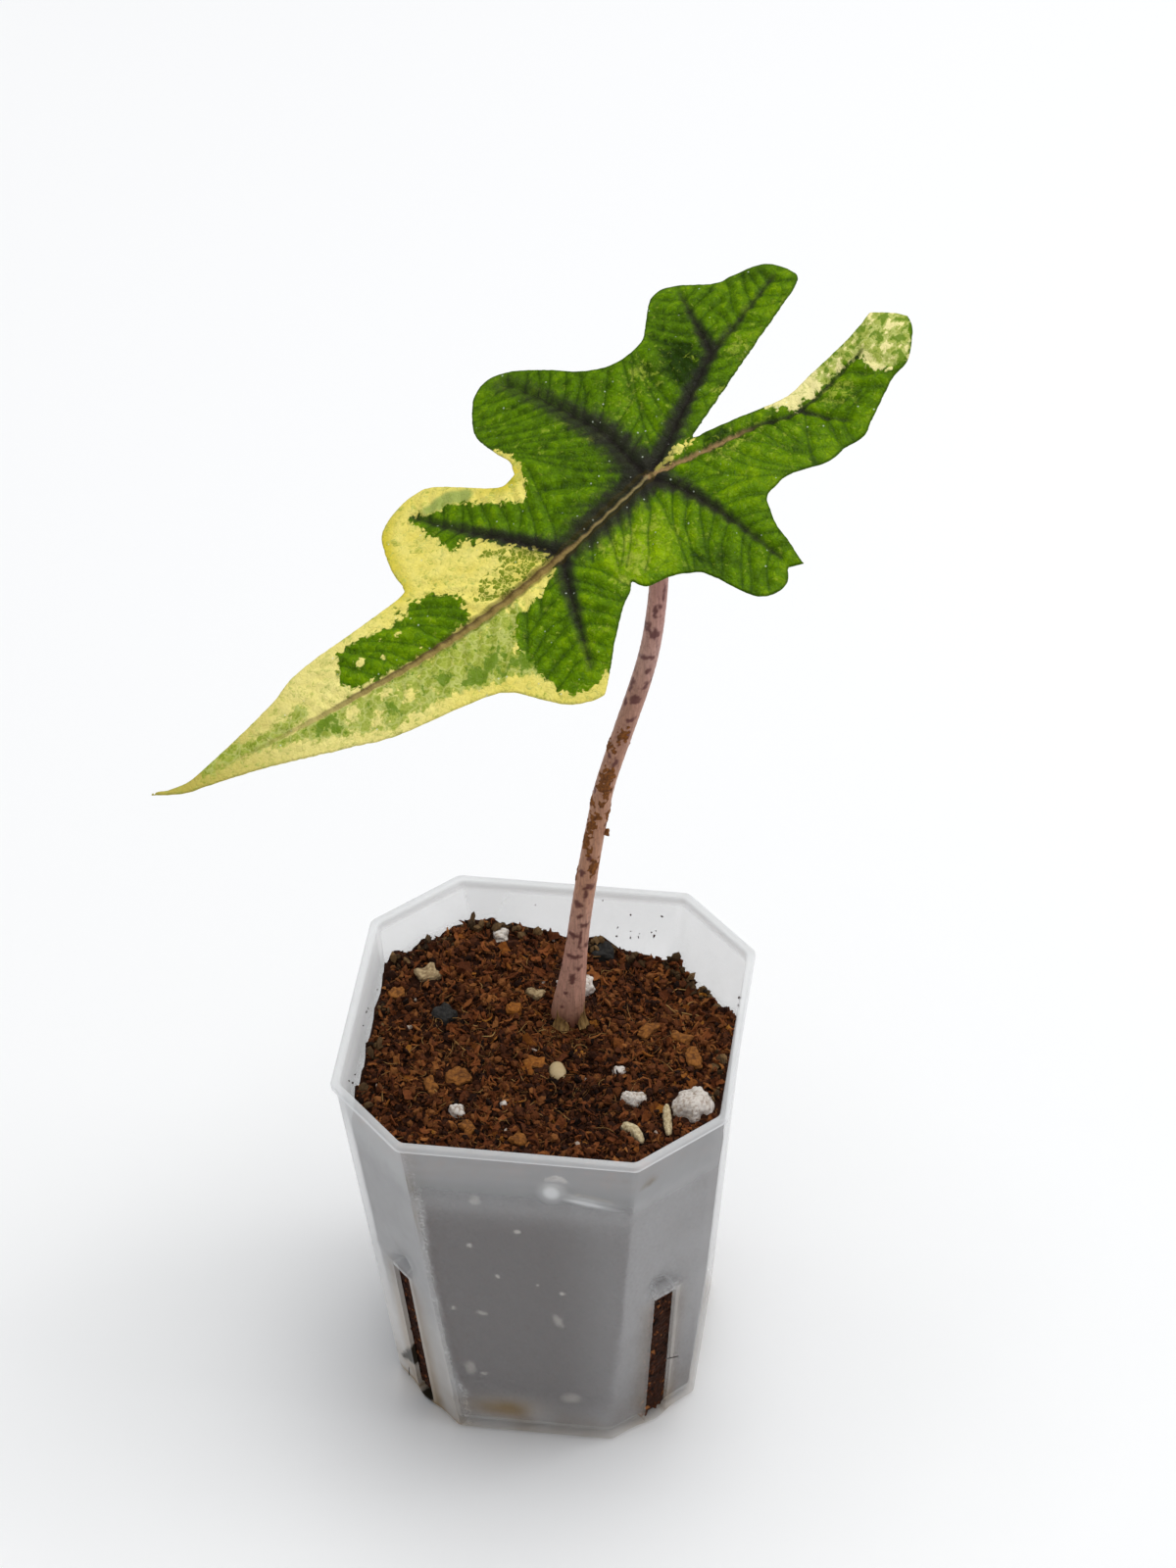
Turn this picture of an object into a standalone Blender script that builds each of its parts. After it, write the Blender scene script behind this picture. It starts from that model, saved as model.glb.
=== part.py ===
# A young variegated alocasia in its clear nursery pot: an eight-sided polypropylene pot with four
# drainage slots, a mounded growing mix with perlite and bark on it, and one leaf on a tall petiole.
# Values below are millimetres, +Z is up, -Y is the pot's front, and the origin is the middle of the
# pot's flat underside.
import math
from types import SimpleNamespace

import bmesh
import bpy
import numpy as np
from mathutils import Matrix, Vector, geometry

MM = 0.001
GAP = 0.3  # clearance between pieces that touch

POT = SimpleNamespace(
    height=80.0,
    rim_width=70.0,  # across flats, outside the rim band
    base_width=54.8,  # across flats at the floor
    rim_chamfer=13.5,  # how much each corner of the wall is cut back, measured along a side
    base_chamfer=13.3,
    wall=0.9,
    floor=1.2,
    corner_radius=2.0,
    corner_steps=2,
    foot_radius=1.0,  # rounding where the wall meets the floor
    band_height=1.5,  # the band round the rim
    band_proud=0.7,
    band_step=0.15,  # the band's lower edge slopes out over this height
    lip_radius=0.3,
    inner_lip=0.15,  # bevel of the rim's inner edge
)
SLOT = SimpleNamespace(
    width=4.8,
    top=36.7,
    ledge=37.6,  # above the slot the wall is pressed in, down to this small ledge
    ledge_rise=0.9,
    press_top=46.0,
    press_depth=2.2,
    press_power=1.5,  # how fast the pressed hollow runs out upward
    swell_middle=20.0,  # a ring of points halfway up the swelling
    swell=0.9,  # the wall beside the slot stands out by this much at the floor
    reach=3.2,  # half width over which both fade away
    cutter_depth=8.0,
)
SLOT_COLUMNS = (-5.0, -2.9, -1.45, 0.0, 1.45, 2.9, 5.0)  # points across each cut corner, from its middle

MIX = SimpleNamespace(
    level=69.2,
    floor_gap=0.3,
    ledge_drop=0.8,  # the mix steps in this far below the wall's ledge, to stay clear of it
    grain=0.5,
    spacing=2.9,
    edge_room=1.6,  # no lump nearer to the wall than this
    seed=11,
)
MIX_MOUNDS = (  # x, y, height, spread
    (-20, 20, 2.0, 15),
    (25, 27, -5.5, 13),
    (0, -30, 1.8, 12),
    (7, 0, -1.4, 9),
    (1, 12, -1.6, 6),
)

CORM = SimpleNamespace(x=0.9, y=12.9, z=53.0, radius=6.2, half_height=7.0)
ROOTS = (  # compass angle in degrees, how far out it ends, height it ends at
    (20, 17, 30),
    (95, 12, 22),
    (165, 18, 27),
    (235, 20, 18),
    (300, 16, 12),
)
ROOT_RADII = (0.85, 0.7, 0.5)
# A root starts inside the corm's flank and bends at a shoulder, as shares of its reach and its drop.
ROOT_BEND = SimpleNamespace(start=0.6, shoulder_out=0.75, shoulder_drop=0.35)

# Room that a socket leaves round its piece.
SOCKET_ROOM = SimpleNamespace(grain=0.39, stem=0.42, corm=0.39)

PETIOLE = (  # x, y, z of the centre line and the radius there
    (1.3, 13.1, 60.6, 3.1),
    (1.7, 13.3, 68.2, 3.0),
    (2.7, 13.5, 76.1, 2.45),
    (3.6, 13.8, 83.9, 2.0),
    (4.5, 14.1, 91.6, 1.88),
    (5.5, 14.6, 99.0, 1.85),
    (6.6, 15.0, 106.6, 1.76),
    (7.8, 15.5, 114.0, 1.72),
    (9.1, 16.0, 121.2, 1.7),
    (11.0, 16.6, 128.3, 1.7),
    (13.0, 17.3, 135.3, 1.74),
    (15.0, 18.0, 142.2, 1.75),
    (16.7, 18.7, 149.1, 1.7),
    (17.8, 19.3, 155.9, 1.64),
    (18.6, 20.0, 165.3, 1.58),
    (18.6, 20.1, 176.0, 1.55),
)
# The last stretch stands square to the blade: how far below it, and the radius there.
PETIOLE_NECK = ((4.0, 1.55), (0.0, 1.6))
PETIOLE_SOCKET_DEPTH = 3.0

LEAF = SimpleNamespace(
    junction=(17.0, 17.7, 189.0),  # where the petiole meets the blade
    heading=228.75,  # compass angle of the midrib, in degrees from +X
    slope=18.0,  # the midrib runs down by this much toward the tip
    roll=-6.0,  # the blade's right half hangs lower
    droop_along=0.0008,  # the blade arches by this much times the square of the distance
    droop_across=0.0015,
    thickness=0.7,
    rib_thickness=1.4,
    vein_depth=0.7,
    vein_width=1.0,
    vein_foot=1.7,  # a row of points this far on both sides of a vein keeps its crease even
    edge_step=2.4,
    vein_step=2.6,
    spacing=3.3,
    edge_room=1.3,  # no inner point nearer to the margin than this
    foot_room=1.5,  # nor nearer to a row beside a vein
)
# Places on the blade are (toward the tip, toward the right edge) from the junction.
LEAF_WAVES = (  # along, across, height, spread: lobes droop and the bays between them lift
    (-44, -14, 1.5, 12),
    (-32, -30, -1.5, 10),
    (-14, -26, 1.5, 8),
    (4, -38, -3.0, 12),
    (12, -20, 1.5, 7),
    (33, -30, -3.0, 10),
    (55, -20, 1.0, 10),
    (37, 22, -2.0, 10),
    (20, 15, 1.0, 7),
    (-3, 31, -2.5, 11),
    (-9, 20, 1.2, 7),
    (-28, 21, -1.5, 9),
    (-50, 9, 2.5, 10),
)
# The margin, as smooth stretches that meet at sharp corners, from the notch behind the junction.
LEAF_MARGIN = (
    # left back lobe with its shoulder, left side lobe and the bay to the left front lobe
    ((-10, 0.3), (-18.5, -2), (-30, -5), (-38.5, -7), (-43.5, -8.5), (-45, -10.5), (-43.5, -16),
     (-38.5, -19), (-35.5, -20.5), (-31, -26.5), (-27, -27.5), (-22, -23.5), (-19, -21), (-15, -20.5),
     (-11.5, -21.5), (-8, -25), (-5, -31.5), (-2, -36.5), (1.5, -39), (5, -38.5), (8, -36),
     (11.5, -31), (12.5, -24), (12.5, -20.5), (14, -17.5)),
    # left front lobe and the long edge to the tip
    ((14, -17.5), (17.5, -18.5), (22.5, -28.5), (25.5, -31), (30, -31.5), (34.5, -30), (37, -26.5),
     (39.5, -21), (40.5, -17.3), (42.5, -16), (52.5, -17), (63.5, -19), (69.5, -18.5), (81, -19),
     (88.5, -20.2), (94.3, -24.5)),
    # from the tip back along the right edge and round the right front lobe to the torn notch
    ((94.3, -24.5), (90, -19), (86.5, -16.5), (78, -10.5), (70, -4), (61, 2.7), (51, 7.2),
     (45.5, 9.6), (42.5, 12), (39.5, 17.5), (37.5, 20.5), (33.5, 23.3), (31, 22.4), (25, 18.4),
     (19.5, 15.2), (17.5, 14.4), (16, 13.1)),
    # right side lobe, out to its short point
    ((16, 13.1), (15, 15.6), (11, 17), (8.5, 18.5), (6.5, 20.7), (4.5, 27.5), (3, 30), (0.5, 31.1),
     (-2, 30.7), (-3.5, 29.1)),
    ((-3.5, 29.1), (-5.8, 30.5)),
    # the bay and the right back lobe with its creased end
    ((-5.8, 30.5), (-7, 26), (-7.7, 22.5), (-9, 20), (-10.3, 18.1), (-12.7, 17.6), (-16, 17.6),
     (-22, 20), (-26, 20.1), (-29.6, 20.8), (-33, 19.6), (-40, 17.3), (-43.6, 17.1), (-46, 16),
     (-49.2, 13.4), (-50.4, 11.2)),
    ((-50.4, 11.2), (-49.3, 9.2), (-46.7, 5.9)),
    ((-46.7, 5.9), (-41.5, 6.6), (-31.4, 6.3), (-27.8, 6.4), (-24.4, 5.7), (-16, 2.4), (-10, 0.3)),
)
LEAF_VEINS = {
    "midrib": ((0, 0), (10, 0.6), (18.5, 0.6), (31.5, -1.4), (41, -2.8), (51, -4.8), (59, -7.6),
               (67, -10.5), (83.5, -17.4), (91, -21.8)),
    "left back": ((0, 0), (-5.5, -1.6), (-13, -5), (-24.5, -9.7), (-31, -10.7), (-42, -12.8)),
    "left back branch": ((-24.5, -9.7), (-26.5, -14.5), (-30.5, -24)),
    "left side": ((0, 0), (-1.5, -11.5), (-1, -18.5), (0, -32.5), (1, -36)),
    "right back": ((0, 0), (-9, 3.4), (-19, 6.7), (-26, 9.7), (-40.5, 10)),
    "right back branch": ((-26, 9.7), (-27.7, 13.3), (-30.5, 17.2)),
    "right side": ((0, 0), (-2.3, 6.7), (-3.4, 17.5), (-4, 27)),
    "left front": ((18.5, 0.6), (21.5, -5.2), (26.5, -18), (29, -28)),
    "right front": ((18.5, 0.6), (21.5, 2.8), (27, 11.8), (31, 18.5)),
}

# Pieces lying in the top of the mix: x, y, length, width, height, turn in degrees, share sunk.
PERLITE = {
    "perlite_back": (-12.8, 29.4, 3.0, 4.2, 3.4, 0, 0.45),
    "perlite_behind_petiole": (2.2, 20.4, 7.4, 4.6, 4.2, 10, 0.45),
    "perlite_right_small": (12.9, -0.1, 2.6, 2.4, 2.0, 30, 0.4),
    "perlite_right": (16.2, -7.7, 4.8, 3.6, 3.0, 15, 0.45),
    "perlite_right_large": (27.0, -8.4, 8.0, 7.0, 6.0, 20, 0.5),
    "perlite_left_front": (-13.7, -15.3, 3.0, 2.8, 2.4, -30, 0.4),
    "perlite_front_small": (-5.9, -12.8, 1.6, 2.2, 2.0, 0, 0.4),
    "perlite_at_front_wall": (6.2, -30.6, 4.6, 2.6, 3.4, 0, 0.72),
}
BARK = {
    "bark_cream_left": (-24.3, 16.9, 4.6, 4.0, 2.8, 35, 0.4),
    "bark_cream_curl": (-4.6, 16.4, 3.8, 2.4, 2.0, -15, 0.4),
    "bark_tan_by_seed": (-2.2, -0.8, 4.4, 3.2, 1.8, 10, 0.45),
    "bark_left_flat": (-15.1, -6.5, 5.0, 4.6, 1.8, 20, 0.4),
    "bark_left_sliver": (-19.4, -9.6, 2.2, 5.0, 1.6, 25, 0.4),
    "bark_left_edge": (-29.0, 12.0, 3.6, 3.0, 2.0, 0, 0.45),
    "bark_front_left": (-11.2, -19.6, 2.8, 3.4, 2.0, 40, 0.4),
    "bark_front": (-1.7, -21.9, 3.2, 3.0, 2.0, -20, 0.4),
    "bark_right_back": (22.6, 10.4, 5.2, 2.8, 2.2, -25, 0.4),
    "bark_right": (25.8, 3.8, 3.0, 5.4, 2.6, 25, 0.4),
    "bark_right_middle": (16.6, 11.7, 2.6, 5.2, 2.0, -30, 0.4),
    "bark_orange": (-7.6, 11.4, 3.6, 3.0, 2.0, 15, 0.4),
}
CHARCOAL = {
    "charcoal_left": (-19.6, 7.7, 4.0, 4.0, 2.6, 25, 0.45),
    "charcoal_behind_petiole": (6.0, 29.6, 4.2, 4.0, 4.4, 0, 0.5),
}
SEED = {"pale_seed": (2.1, -1.9, 3.2, 4.6, 2.2, 15, 0.35)}
# Dead root ends lying on the mix: points of the centre line above the mix surface, and radii.
ROOT_ENDS = {
    "root_end_left": (((15.4, -15.2, 0.4), (17.6, -16.2, 0.6), (19.6, -18.8, 0.1)), (0.95, 1.0, 0.6)),
    "root_end_right": (((22.6, -9.4, 1.2), (23.1, -12.6, 0.7), (23.9, -16.6, 0.5)), (0.5, 0.75, 0.55)),
    "root_at_front_wall": (((8.9, -31.8, -0.9), (13.0, -31.8, -1.5), (16.4, -31.7, -2.0)),
                           (0.5, 0.5, 0.45)),
}
# Dry scale leaves left at the foot of the petiole: compass angle in degrees, height and width.
SCALES = {
    "scale_leaf_front": (262, 5.0, 3.2),
    "scale_leaf_right": (320, 6.2, 2.2),
}
SCALE = SimpleNamespace(
    stand_off=1.1,  # clear of the petiole by this much at the tip
    flare=0.9,  # and by this much more at the foot
    taper=0.8,
    lift=1.0,  # its foot above the mix
    outward=4.5,  # where the mix's height is taken, from the petiole's middle
    thickness=0.6,
)
SCALE_ROWS = (0.0, 0.4, 0.75, 1.0)  # shares of its height


def clear_scene():
    for obj in list(bpy.data.objects):
        bpy.data.objects.remove(obj, do_unlink=True)


def new_collection(name):
    made = bpy.data.collections.new(name)
    bpy.context.scene.collection.children.link(made)
    return made


def new_material(name, colour, roughness, alpha=1.0, transmission=0.0):
    made = bpy.data.materials.new(name)
    made.use_nodes = True
    shader = made.node_tree.nodes["Principled BSDF"]
    shader.inputs["Base Color"].default_value = (*colour, 1.0)
    shader.inputs["Roughness"].default_value = roughness
    shader.inputs["Metallic"].default_value = 0.0
    shader.inputs["Alpha"].default_value = alpha
    shader.inputs["Transmission Weight"].default_value = transmission
    made.diffuse_color = (*colour, alpha)
    return made


def new_object(name, mesh, collection, material=None):
    made = bpy.data.objects.new(name, mesh)
    collection.objects.link(made)
    if material:
        mesh.materials.append(material)
    return made


def as_cutter(obj):
    obj.hide_render = True
    obj.display_type = "WIRE"
    return obj


def cut(obj, cutters, name):
    modifier = obj.modifiers.new(name, "BOOLEAN")
    modifier.operation = "DIFFERENCE"
    modifier.solver = "EXACT"
    modifier.operand_type = "COLLECTION"
    modifier.collection = cutters


def mesh_of(made, name):
    """Moves a bmesh in millimetres into a new mesh in metres, facing outward."""
    bmesh.ops.recalc_face_normals(made, faces=made.faces)
    bmesh.ops.scale(made, vec=(MM, MM, MM), verts=made.verts)
    mesh = bpy.data.meshes.new(name)
    made.to_mesh(mesh)
    made.free()
    return mesh


def tube(name, points, radii, collection, material=None, sides=2):
    """A round tapered stem: a curve with a bevel, made a mesh with its caps welded."""
    curve = bpy.data.curves.new(name, "CURVE")
    curve.dimensions = "3D"
    curve.bevel_depth = MM
    curve.bevel_resolution = sides
    curve.use_fill_caps = True
    spline = curve.splines.new("POLY")
    spline.points.add(len(points) - 1)
    for spot, place, radius in zip(spline.points, points, radii):
        spot.co = (*(Vector(place) * MM), 1.0)
        spot.radius = radius
    guide = bpy.data.objects.new(name + "_guide", curve)
    collection.objects.link(guide)
    bpy.context.view_layer.update()
    graph = bpy.context.evaluated_depsgraph_get()
    mesh = bpy.data.meshes.new_from_object(guide.evaluated_get(graph))
    bpy.data.objects.remove(guide, do_unlink=True)
    joined = bmesh.new()
    joined.from_mesh(mesh)
    bmesh.ops.remove_doubles(joined, verts=joined.verts, dist=1e-6)
    bmesh.ops.recalc_face_normals(joined, faces=joined.faces)
    joined.to_mesh(mesh)
    joined.free()
    mesh.name = name
    mesh.materials.clear()
    mesh.shade_smooth()
    return new_object(name, mesh, collection, material)


def smooth_path(places, step):
    """Points a step apart along a Catmull-Rom curve through the places, ends kept."""
    places = np.array(places, float)
    if len(places) < 3:
        return places
    padded = np.vstack([2 * places[0] - places[1], places, 2 * places[-1] - places[-2]])
    dense = []
    for before, start, end, after in zip(padded, padded[1:], padded[2:], padded[3:]):
        t = np.linspace(0, 1, 24, endpoint=False)[:, None]
        dense.append(
            0.5 * (2 * start + (end - before) * t
                   + (2 * before - 5 * start + 4 * end - after) * t**2
                   + (3 * start - before - 3 * end + after) * t**3)
        )
    dense = np.vstack(dense + [places[-1:]])
    travelled = np.concatenate([[0], np.cumsum(np.linalg.norm(np.diff(dense, axis=0), axis=1))])
    count = max(2, round(travelled[-1] / step) + 1)
    stations = np.linspace(0, travelled[-1], count)
    return np.stack([np.interp(stations, travelled, axis) for axis in dense.T], axis=1)


# Pot

def pot_section(z):
    """Half width across the flats and distance of the cut corners' faces, at height z."""
    share = z / POT.height
    wall_top = POT.rim_width - 2 * POT.band_proud
    width = POT.base_width + (wall_top - POT.base_width) * share
    chamfer = POT.base_chamfer + (POT.rim_chamfer - POT.base_chamfer) * share
    return width / 2, (width - chamfer) / math.sqrt(2)


def slot_relief(across, z):
    """How far the wall stands out near a slot: swollen beside it, pressed in above its ledge."""
    fade = math.exp(-((across / SLOT.reach) ** 2))
    if z <= SLOT.ledge:
        return SLOT.swell * (1 - z / SLOT.ledge) * fade
    if z >= SLOT.press_top:
        return 0.0
    down = (SLOT.press_top - z) / (SLOT.press_top - SLOT.ledge - SLOT.ledge_rise)
    return -SLOT.press_depth * min(1.0, down) ** SLOT.press_power * fade


def pot_ring(z, offset, relief_z=None):
    """The eight-sided outline at height z, moved out by offset, with round corners."""
    flat, cut_face = pot_section(z)
    relief_z = z if relief_z is None else relief_z
    radius = POT.corner_radius
    ring = []
    for side in range(8):
        reach = (flat if side % 2 == 0 else cut_face) + offset - radius
        next_reach = (cut_face if side % 2 == 0 else flat) + offset - radius
        angle = math.radians(45 * side)
        normal = Vector((math.cos(angle), math.sin(angle)))
        along = Vector((-normal.y, normal.x))
        if side % 2:
            for across in SLOT_COLUMNS:
                out = reach + radius + slot_relief(across, relief_z)
                ring.append(normal * out + along * across)
        turn = math.radians(45)
        corner = normal * reach + along * (next_reach - reach * math.cos(turn)) / math.sin(turn)
        for step in range(POT.corner_steps + 1):
            theta = angle + turn * step / POT.corner_steps
            ring.append(corner + Vector((math.cos(theta), math.sin(theta))) * radius)
    return [Vector((p.x, p.y, z)) for p in ring]


def skin(made, rings):
    """Joins each ring of points to the next with four-sided faces."""
    for below, above in zip(rings, rings[1:]):
        count = len(below)
        for i in range(count):
            j = (i + 1) % count
            made.faces.new((below[i], below[j], above[j], above[i]))


def relief_heights():
    ledge_back = SLOT.ledge + SLOT.ledge_rise
    middle = (ledge_back + SLOT.press_top) / 2
    return [SLOT.swell_middle, SLOT.ledge, ledge_back, middle, SLOT.press_top]


def build_pot(collection, material, cutters):
    """An outer and an inner skin that meet at the rim: a straight loft between unlike sections."""
    top, lip = POT.height, POT.lip_radius
    foot = POT.foot_radius
    band = top - POT.band_height
    outer = [(0, -foot), (0.3 * foot, -0.3 * foot), (foot, 0)]
    outer += [(z, 0) for z in relief_heights()]
    outer += [(band, 0), (band + POT.band_step, POT.band_proud), (top - lip, POT.band_proud)]
    outer += [(top, POT.band_proud - lip), (top, POT.inner_lip - POT.wall)]
    inner = [(top - POT.inner_lip, -POT.wall)]
    inner += [(z, -POT.wall) for z in reversed(relief_heights())]
    inner += [(POT.floor + foot, -POT.wall), (POT.floor, -POT.wall - foot)]
    made = bmesh.new()
    rings = [[made.verts.new(p) for p in pot_ring(z, offset)] for z, offset in outer + inner]
    skin(made, rings)
    made.faces.new(reversed(rings[0]))
    made.faces.new(rings[-1])
    pot = new_object("pot", mesh_of(made, "pot"), collection, material)
    for corner in range(4):
        angle = math.radians(45 + 90 * corner)
        reach = pot_section(SLOT.top / 2)[1]
        bpy.ops.mesh.primitive_cube_add(size=1.0)
        cutter = bpy.context.object
        cutter.name = f"slot_cutter_{corner + 1}"
        height = SLOT.top - POT.floor
        size = Vector((SLOT.cutter_depth, SLOT.width, height)) * MM
        place = Vector((reach * math.cos(angle), reach * math.sin(angle), POT.floor + height / 2))
        turned = Matrix.Translation(place * MM) @ Matrix.Rotation(angle, 4, "Z")
        cutter.data.transform(turned @ Matrix.Diagonal((*size, 1.0)))
        for other in list(cutter.users_collection):
            other.objects.unlink(cutter)
        cutters.objects.link(as_cutter(cutter))
    cut(pot, cutters, "slots")
    return pot


# Growing mix

def mix_height(x, y):
    height = MIX.level
    for mound_x, mound_y, rise, spread in MIX_MOUNDS:
        squared = (x - mound_x) ** 2 + (y - mound_y) ** 2
        height = height + rise * np.exp(-squared / (2 * spread**2))
    return height


def mix_edge():
    """The outline of the mix where its top meets the wall, each point at its own height."""
    offset = -POT.wall - GAP
    low, high = pot_ring(POT.height - 20, offset), pot_ring(POT.height, offset)
    edge = []
    for a, b in zip(low, high):
        place = (a + b) / 2
        for _ in range(4):
            share = (mix_height(place.x, place.y) - a.z) / (b.z - a.z)
            place = a.lerp(b, share)
        edge.append(place)
    return edge


def build_mix(collection, material, cutters):
    """Sides that follow the pot's wall, and a top of small lumps on low mounds."""
    draw = np.random.default_rng(MIX.seed)
    offset = -POT.wall - GAP
    foot = POT.foot_radius
    bottom = POT.floor + MIX.floor_gap
    levels = [(bottom, offset - foot, bottom), (bottom + foot, offset, bottom + foot)]
    for z in relief_heights():
        # Steps in a little below the wall's ledge and stays in until past it, to keep clear.
        if z in (SLOT.ledge, SLOT.ledge + SLOT.ledge_rise):
            levels.append((z - MIX.ledge_drop, offset, z))
        if z != SLOT.ledge:
            levels.append((z, offset, z))
    edge = mix_edge()
    rows = np.arange(-36, 36, MIX.spacing * math.sqrt(3) / 2)
    spots = []
    for number, y in enumerate(rows):
        xs = np.arange(-36, 36, MIX.spacing) + (number % 2) * MIX.spacing / 2
        for x in xs + draw.uniform(-0.5, 0.5, len(xs)):
            flat, cut_face = pot_section(MIX.level)
            room = offset - MIX.edge_room
            if max(abs(x), abs(y)) < flat + room and abs(x) + abs(y) < (cut_face + room) * math.sqrt(2):
                spots.append((x, y))
    lumps = draw.uniform(-MIX.grain, MIX.grain, len(spots))
    outline = [Vector((p.x, p.y)) for p in edge]
    loop = list(range(len(outline)))
    flat_points, _, faces, _, _, _ = geometry.delaunay_2d_cdt(
        outline + [Vector(s) for s in spots], [], [loop], 1, 1e-4
    )
    made = bmesh.new()
    rings = [[made.verts.new(p) for p in pot_ring(*level)] for level in levels]
    heights = [p.z for p in edge]
    heights += [mix_height(*spot) + lump for spot, lump in zip(spots, lumps)]
    top = [made.verts.new((p.x, p.y, z)) for p, z in zip(flat_points, heights)]
    rings.append(top[: len(outline)])
    skin(made, rings)
    made.faces.new(reversed(rings[0]))
    for face in faces:
        made.faces.new([top[i] for i in face])
    mix = new_object("growing_mix", mesh_of(made, "growing_mix"), collection, material)
    cut(mix, cutters, "sockets")
    return mix


def lump(name, size, turn, place, draw, roughness, collection, material=None, detail=2):
    """A grain: a small sphere drawn out to its size, each point moved in or out a little."""
    made = bmesh.new()
    bmesh.ops.create_icosphere(made, subdivisions=detail, radius=1.0)
    for vert, push in zip(made.verts, draw.uniform(-roughness, roughness, len(made.verts))):
        vert.co *= 1 + push
    half = Matrix.Diagonal((size[0] / 2, size[1] / 2, size[2] / 2, 1.0))
    turned = Matrix.Translation(place) @ Matrix.Rotation(math.radians(turn), 4, "Z")
    bmesh.ops.transform(made, matrix=turned @ half, verts=made.verts)
    return new_object(name, mesh_of(made, name), collection, material)


def build_grains(table, roughness, seed, collection, material, sockets):
    """Every grain of one kind, each with a slightly larger copy that cuts its socket in the mix."""
    for number, (name, values) in enumerate(table.items()):
        x, y, length, width, height, turn, sunk = values
        place = Vector((x, y, mix_height(x, y) + height * (0.5 - sunk)))
        detail = 2 if max(length, width) > 2.5 else 1
        size = (length, width, height)
        draw = np.random.default_rng(seed + number)
        lump(name, size, turn, place, draw, roughness, collection, material, detail)
        draw = np.random.default_rng(seed + number)
        roomy = [side + 2 * SOCKET_ROOM.grain for side in size]
        as_cutter(lump(name + "_socket", roomy, turn, place, draw, roughness, sockets, None, detail))


def build_root_ends(collection, material, sockets):
    for name, (route, radii) in ROOT_ENDS.items():
        points = [(x, y, mix_height(x, y) + up) for x, y, up in route]
        tube(name, points, radii, collection, material, sides=1)
        before, after = Vector(points[0]), Vector(points[-1])
        start = before + (before - Vector(points[1])).normalized() * GAP
        end = after + (after - Vector(points[-2])).normalized() * GAP
        roomy = [tuple(start), *points[1:-1], tuple(end)]
        wide = [radius + SOCKET_ROOM.stem for radius in radii]
        as_cutter(tube(name + "_socket", roomy, wide, sockets, sides=1))


# Plant

def root_route(angle, reach, end_height):
    """A root's centre line: out of the corm's flank, then bending down into the mix."""
    heading = Vector((math.cos(math.radians(angle)), math.sin(math.radians(angle)), 0))
    centre = Vector((CORM.x, CORM.y, CORM.z))
    drop = Vector((0, 0, end_height - CORM.z))
    start = centre + heading * (CORM.radius * ROOT_BEND.start)
    shoulder = centre + heading * (reach * ROOT_BEND.shoulder_out) + drop * ROOT_BEND.shoulder_drop
    end = centre + heading * reach + drop
    return [tuple(start), tuple(shoulder), tuple(end)]


def corm_body(name, room, collection, material=None):
    made = bmesh.new()
    bmesh.ops.create_uvsphere(made, u_segments=12, v_segments=8, radius=1.0)
    half = Matrix.Diagonal((CORM.radius + room, CORM.radius + room, CORM.half_height + room, 1.0))
    place = Matrix.Translation((CORM.x, CORM.y, CORM.z))
    bmesh.ops.transform(made, matrix=place @ half, verts=made.verts)
    return new_object(name, mesh_of(made, name), collection, material)


def build_corm(collection, material, sockets):
    """The swollen stem base in the mix with its main roots, joined into one body."""
    corm = corm_body("corm_with_roots", 0.0, collection, material)
    as_cutter(corm_body("corm_socket", SOCKET_ROOM.corm, sockets))
    for number, (angle, reach, end_height) in enumerate(ROOTS):
        points = root_route(angle, reach, end_height)
        root = tube(f"root_{number + 1}", points, ROOT_RADII, sockets, sides=1)
        as_cutter(root)
        modifier = corm.modifiers.new(root.name, "BOOLEAN")
        modifier.operation = "UNION"
        modifier.solver = "EXACT"
        modifier.object = root
        sockets.objects.unlink(root)
        bpy.data.collections["joined_shapes"].objects.link(root)
        end = Vector(points[-1])
        end += (end - Vector(points[-2])).normalized() * GAP
        wide = [radius + SOCKET_ROOM.stem for radius in ROOT_RADII]
        roomy = [*points[:-1], tuple(end)]
        as_cutter(tube(f"root_{number + 1}_socket", roomy, wide, sockets, sides=1))
    return corm


def leaf_frame():
    """The junction and the blade's three directions: toward the tip, to the right, and up."""
    heading, slope, roll = (math.radians(a) for a in (LEAF.heading, LEAF.slope, LEAF.roll))
    level = Vector((math.cos(heading), math.sin(heading), 0))
    along = level * math.cos(slope) - Vector((0, 0, math.sin(slope)))
    across = Vector((0, 0, 1)).cross(level)
    up = along.cross(across)
    across, up = (across * math.cos(roll) + up * math.sin(roll),
                  up * math.cos(roll) - across * math.sin(roll))
    return Vector(LEAF.junction), along, across, up


def leaf_rise(along, across):
    """Height of the blade's upper face over its plane: an arch, a droop to the sides, and waves."""
    rise = -LEAF.droop_along * along**2 - LEAF.droop_across * across**2
    for wave_along, wave_across, height, spread in LEAF_WAVES:
        squared = (along - wave_along) ** 2 + (across - wave_across) ** 2
        rise = rise + height * np.exp(-squared / (2 * spread**2))
    return rise


def distance_to_paths(places, paths):
    """Shortest distance from each place to any of the drawn lines."""
    nearest = np.full(len(places), np.inf)
    for path in paths:
        for start, end in zip(path, path[1:]):
            run = end - start
            share = np.clip((places - start) @ run / (run @ run), 0, 1)
            gap = np.linalg.norm(places - (start + share[:, None] * run), axis=1)
            nearest = np.minimum(nearest, gap)
    return nearest


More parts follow.
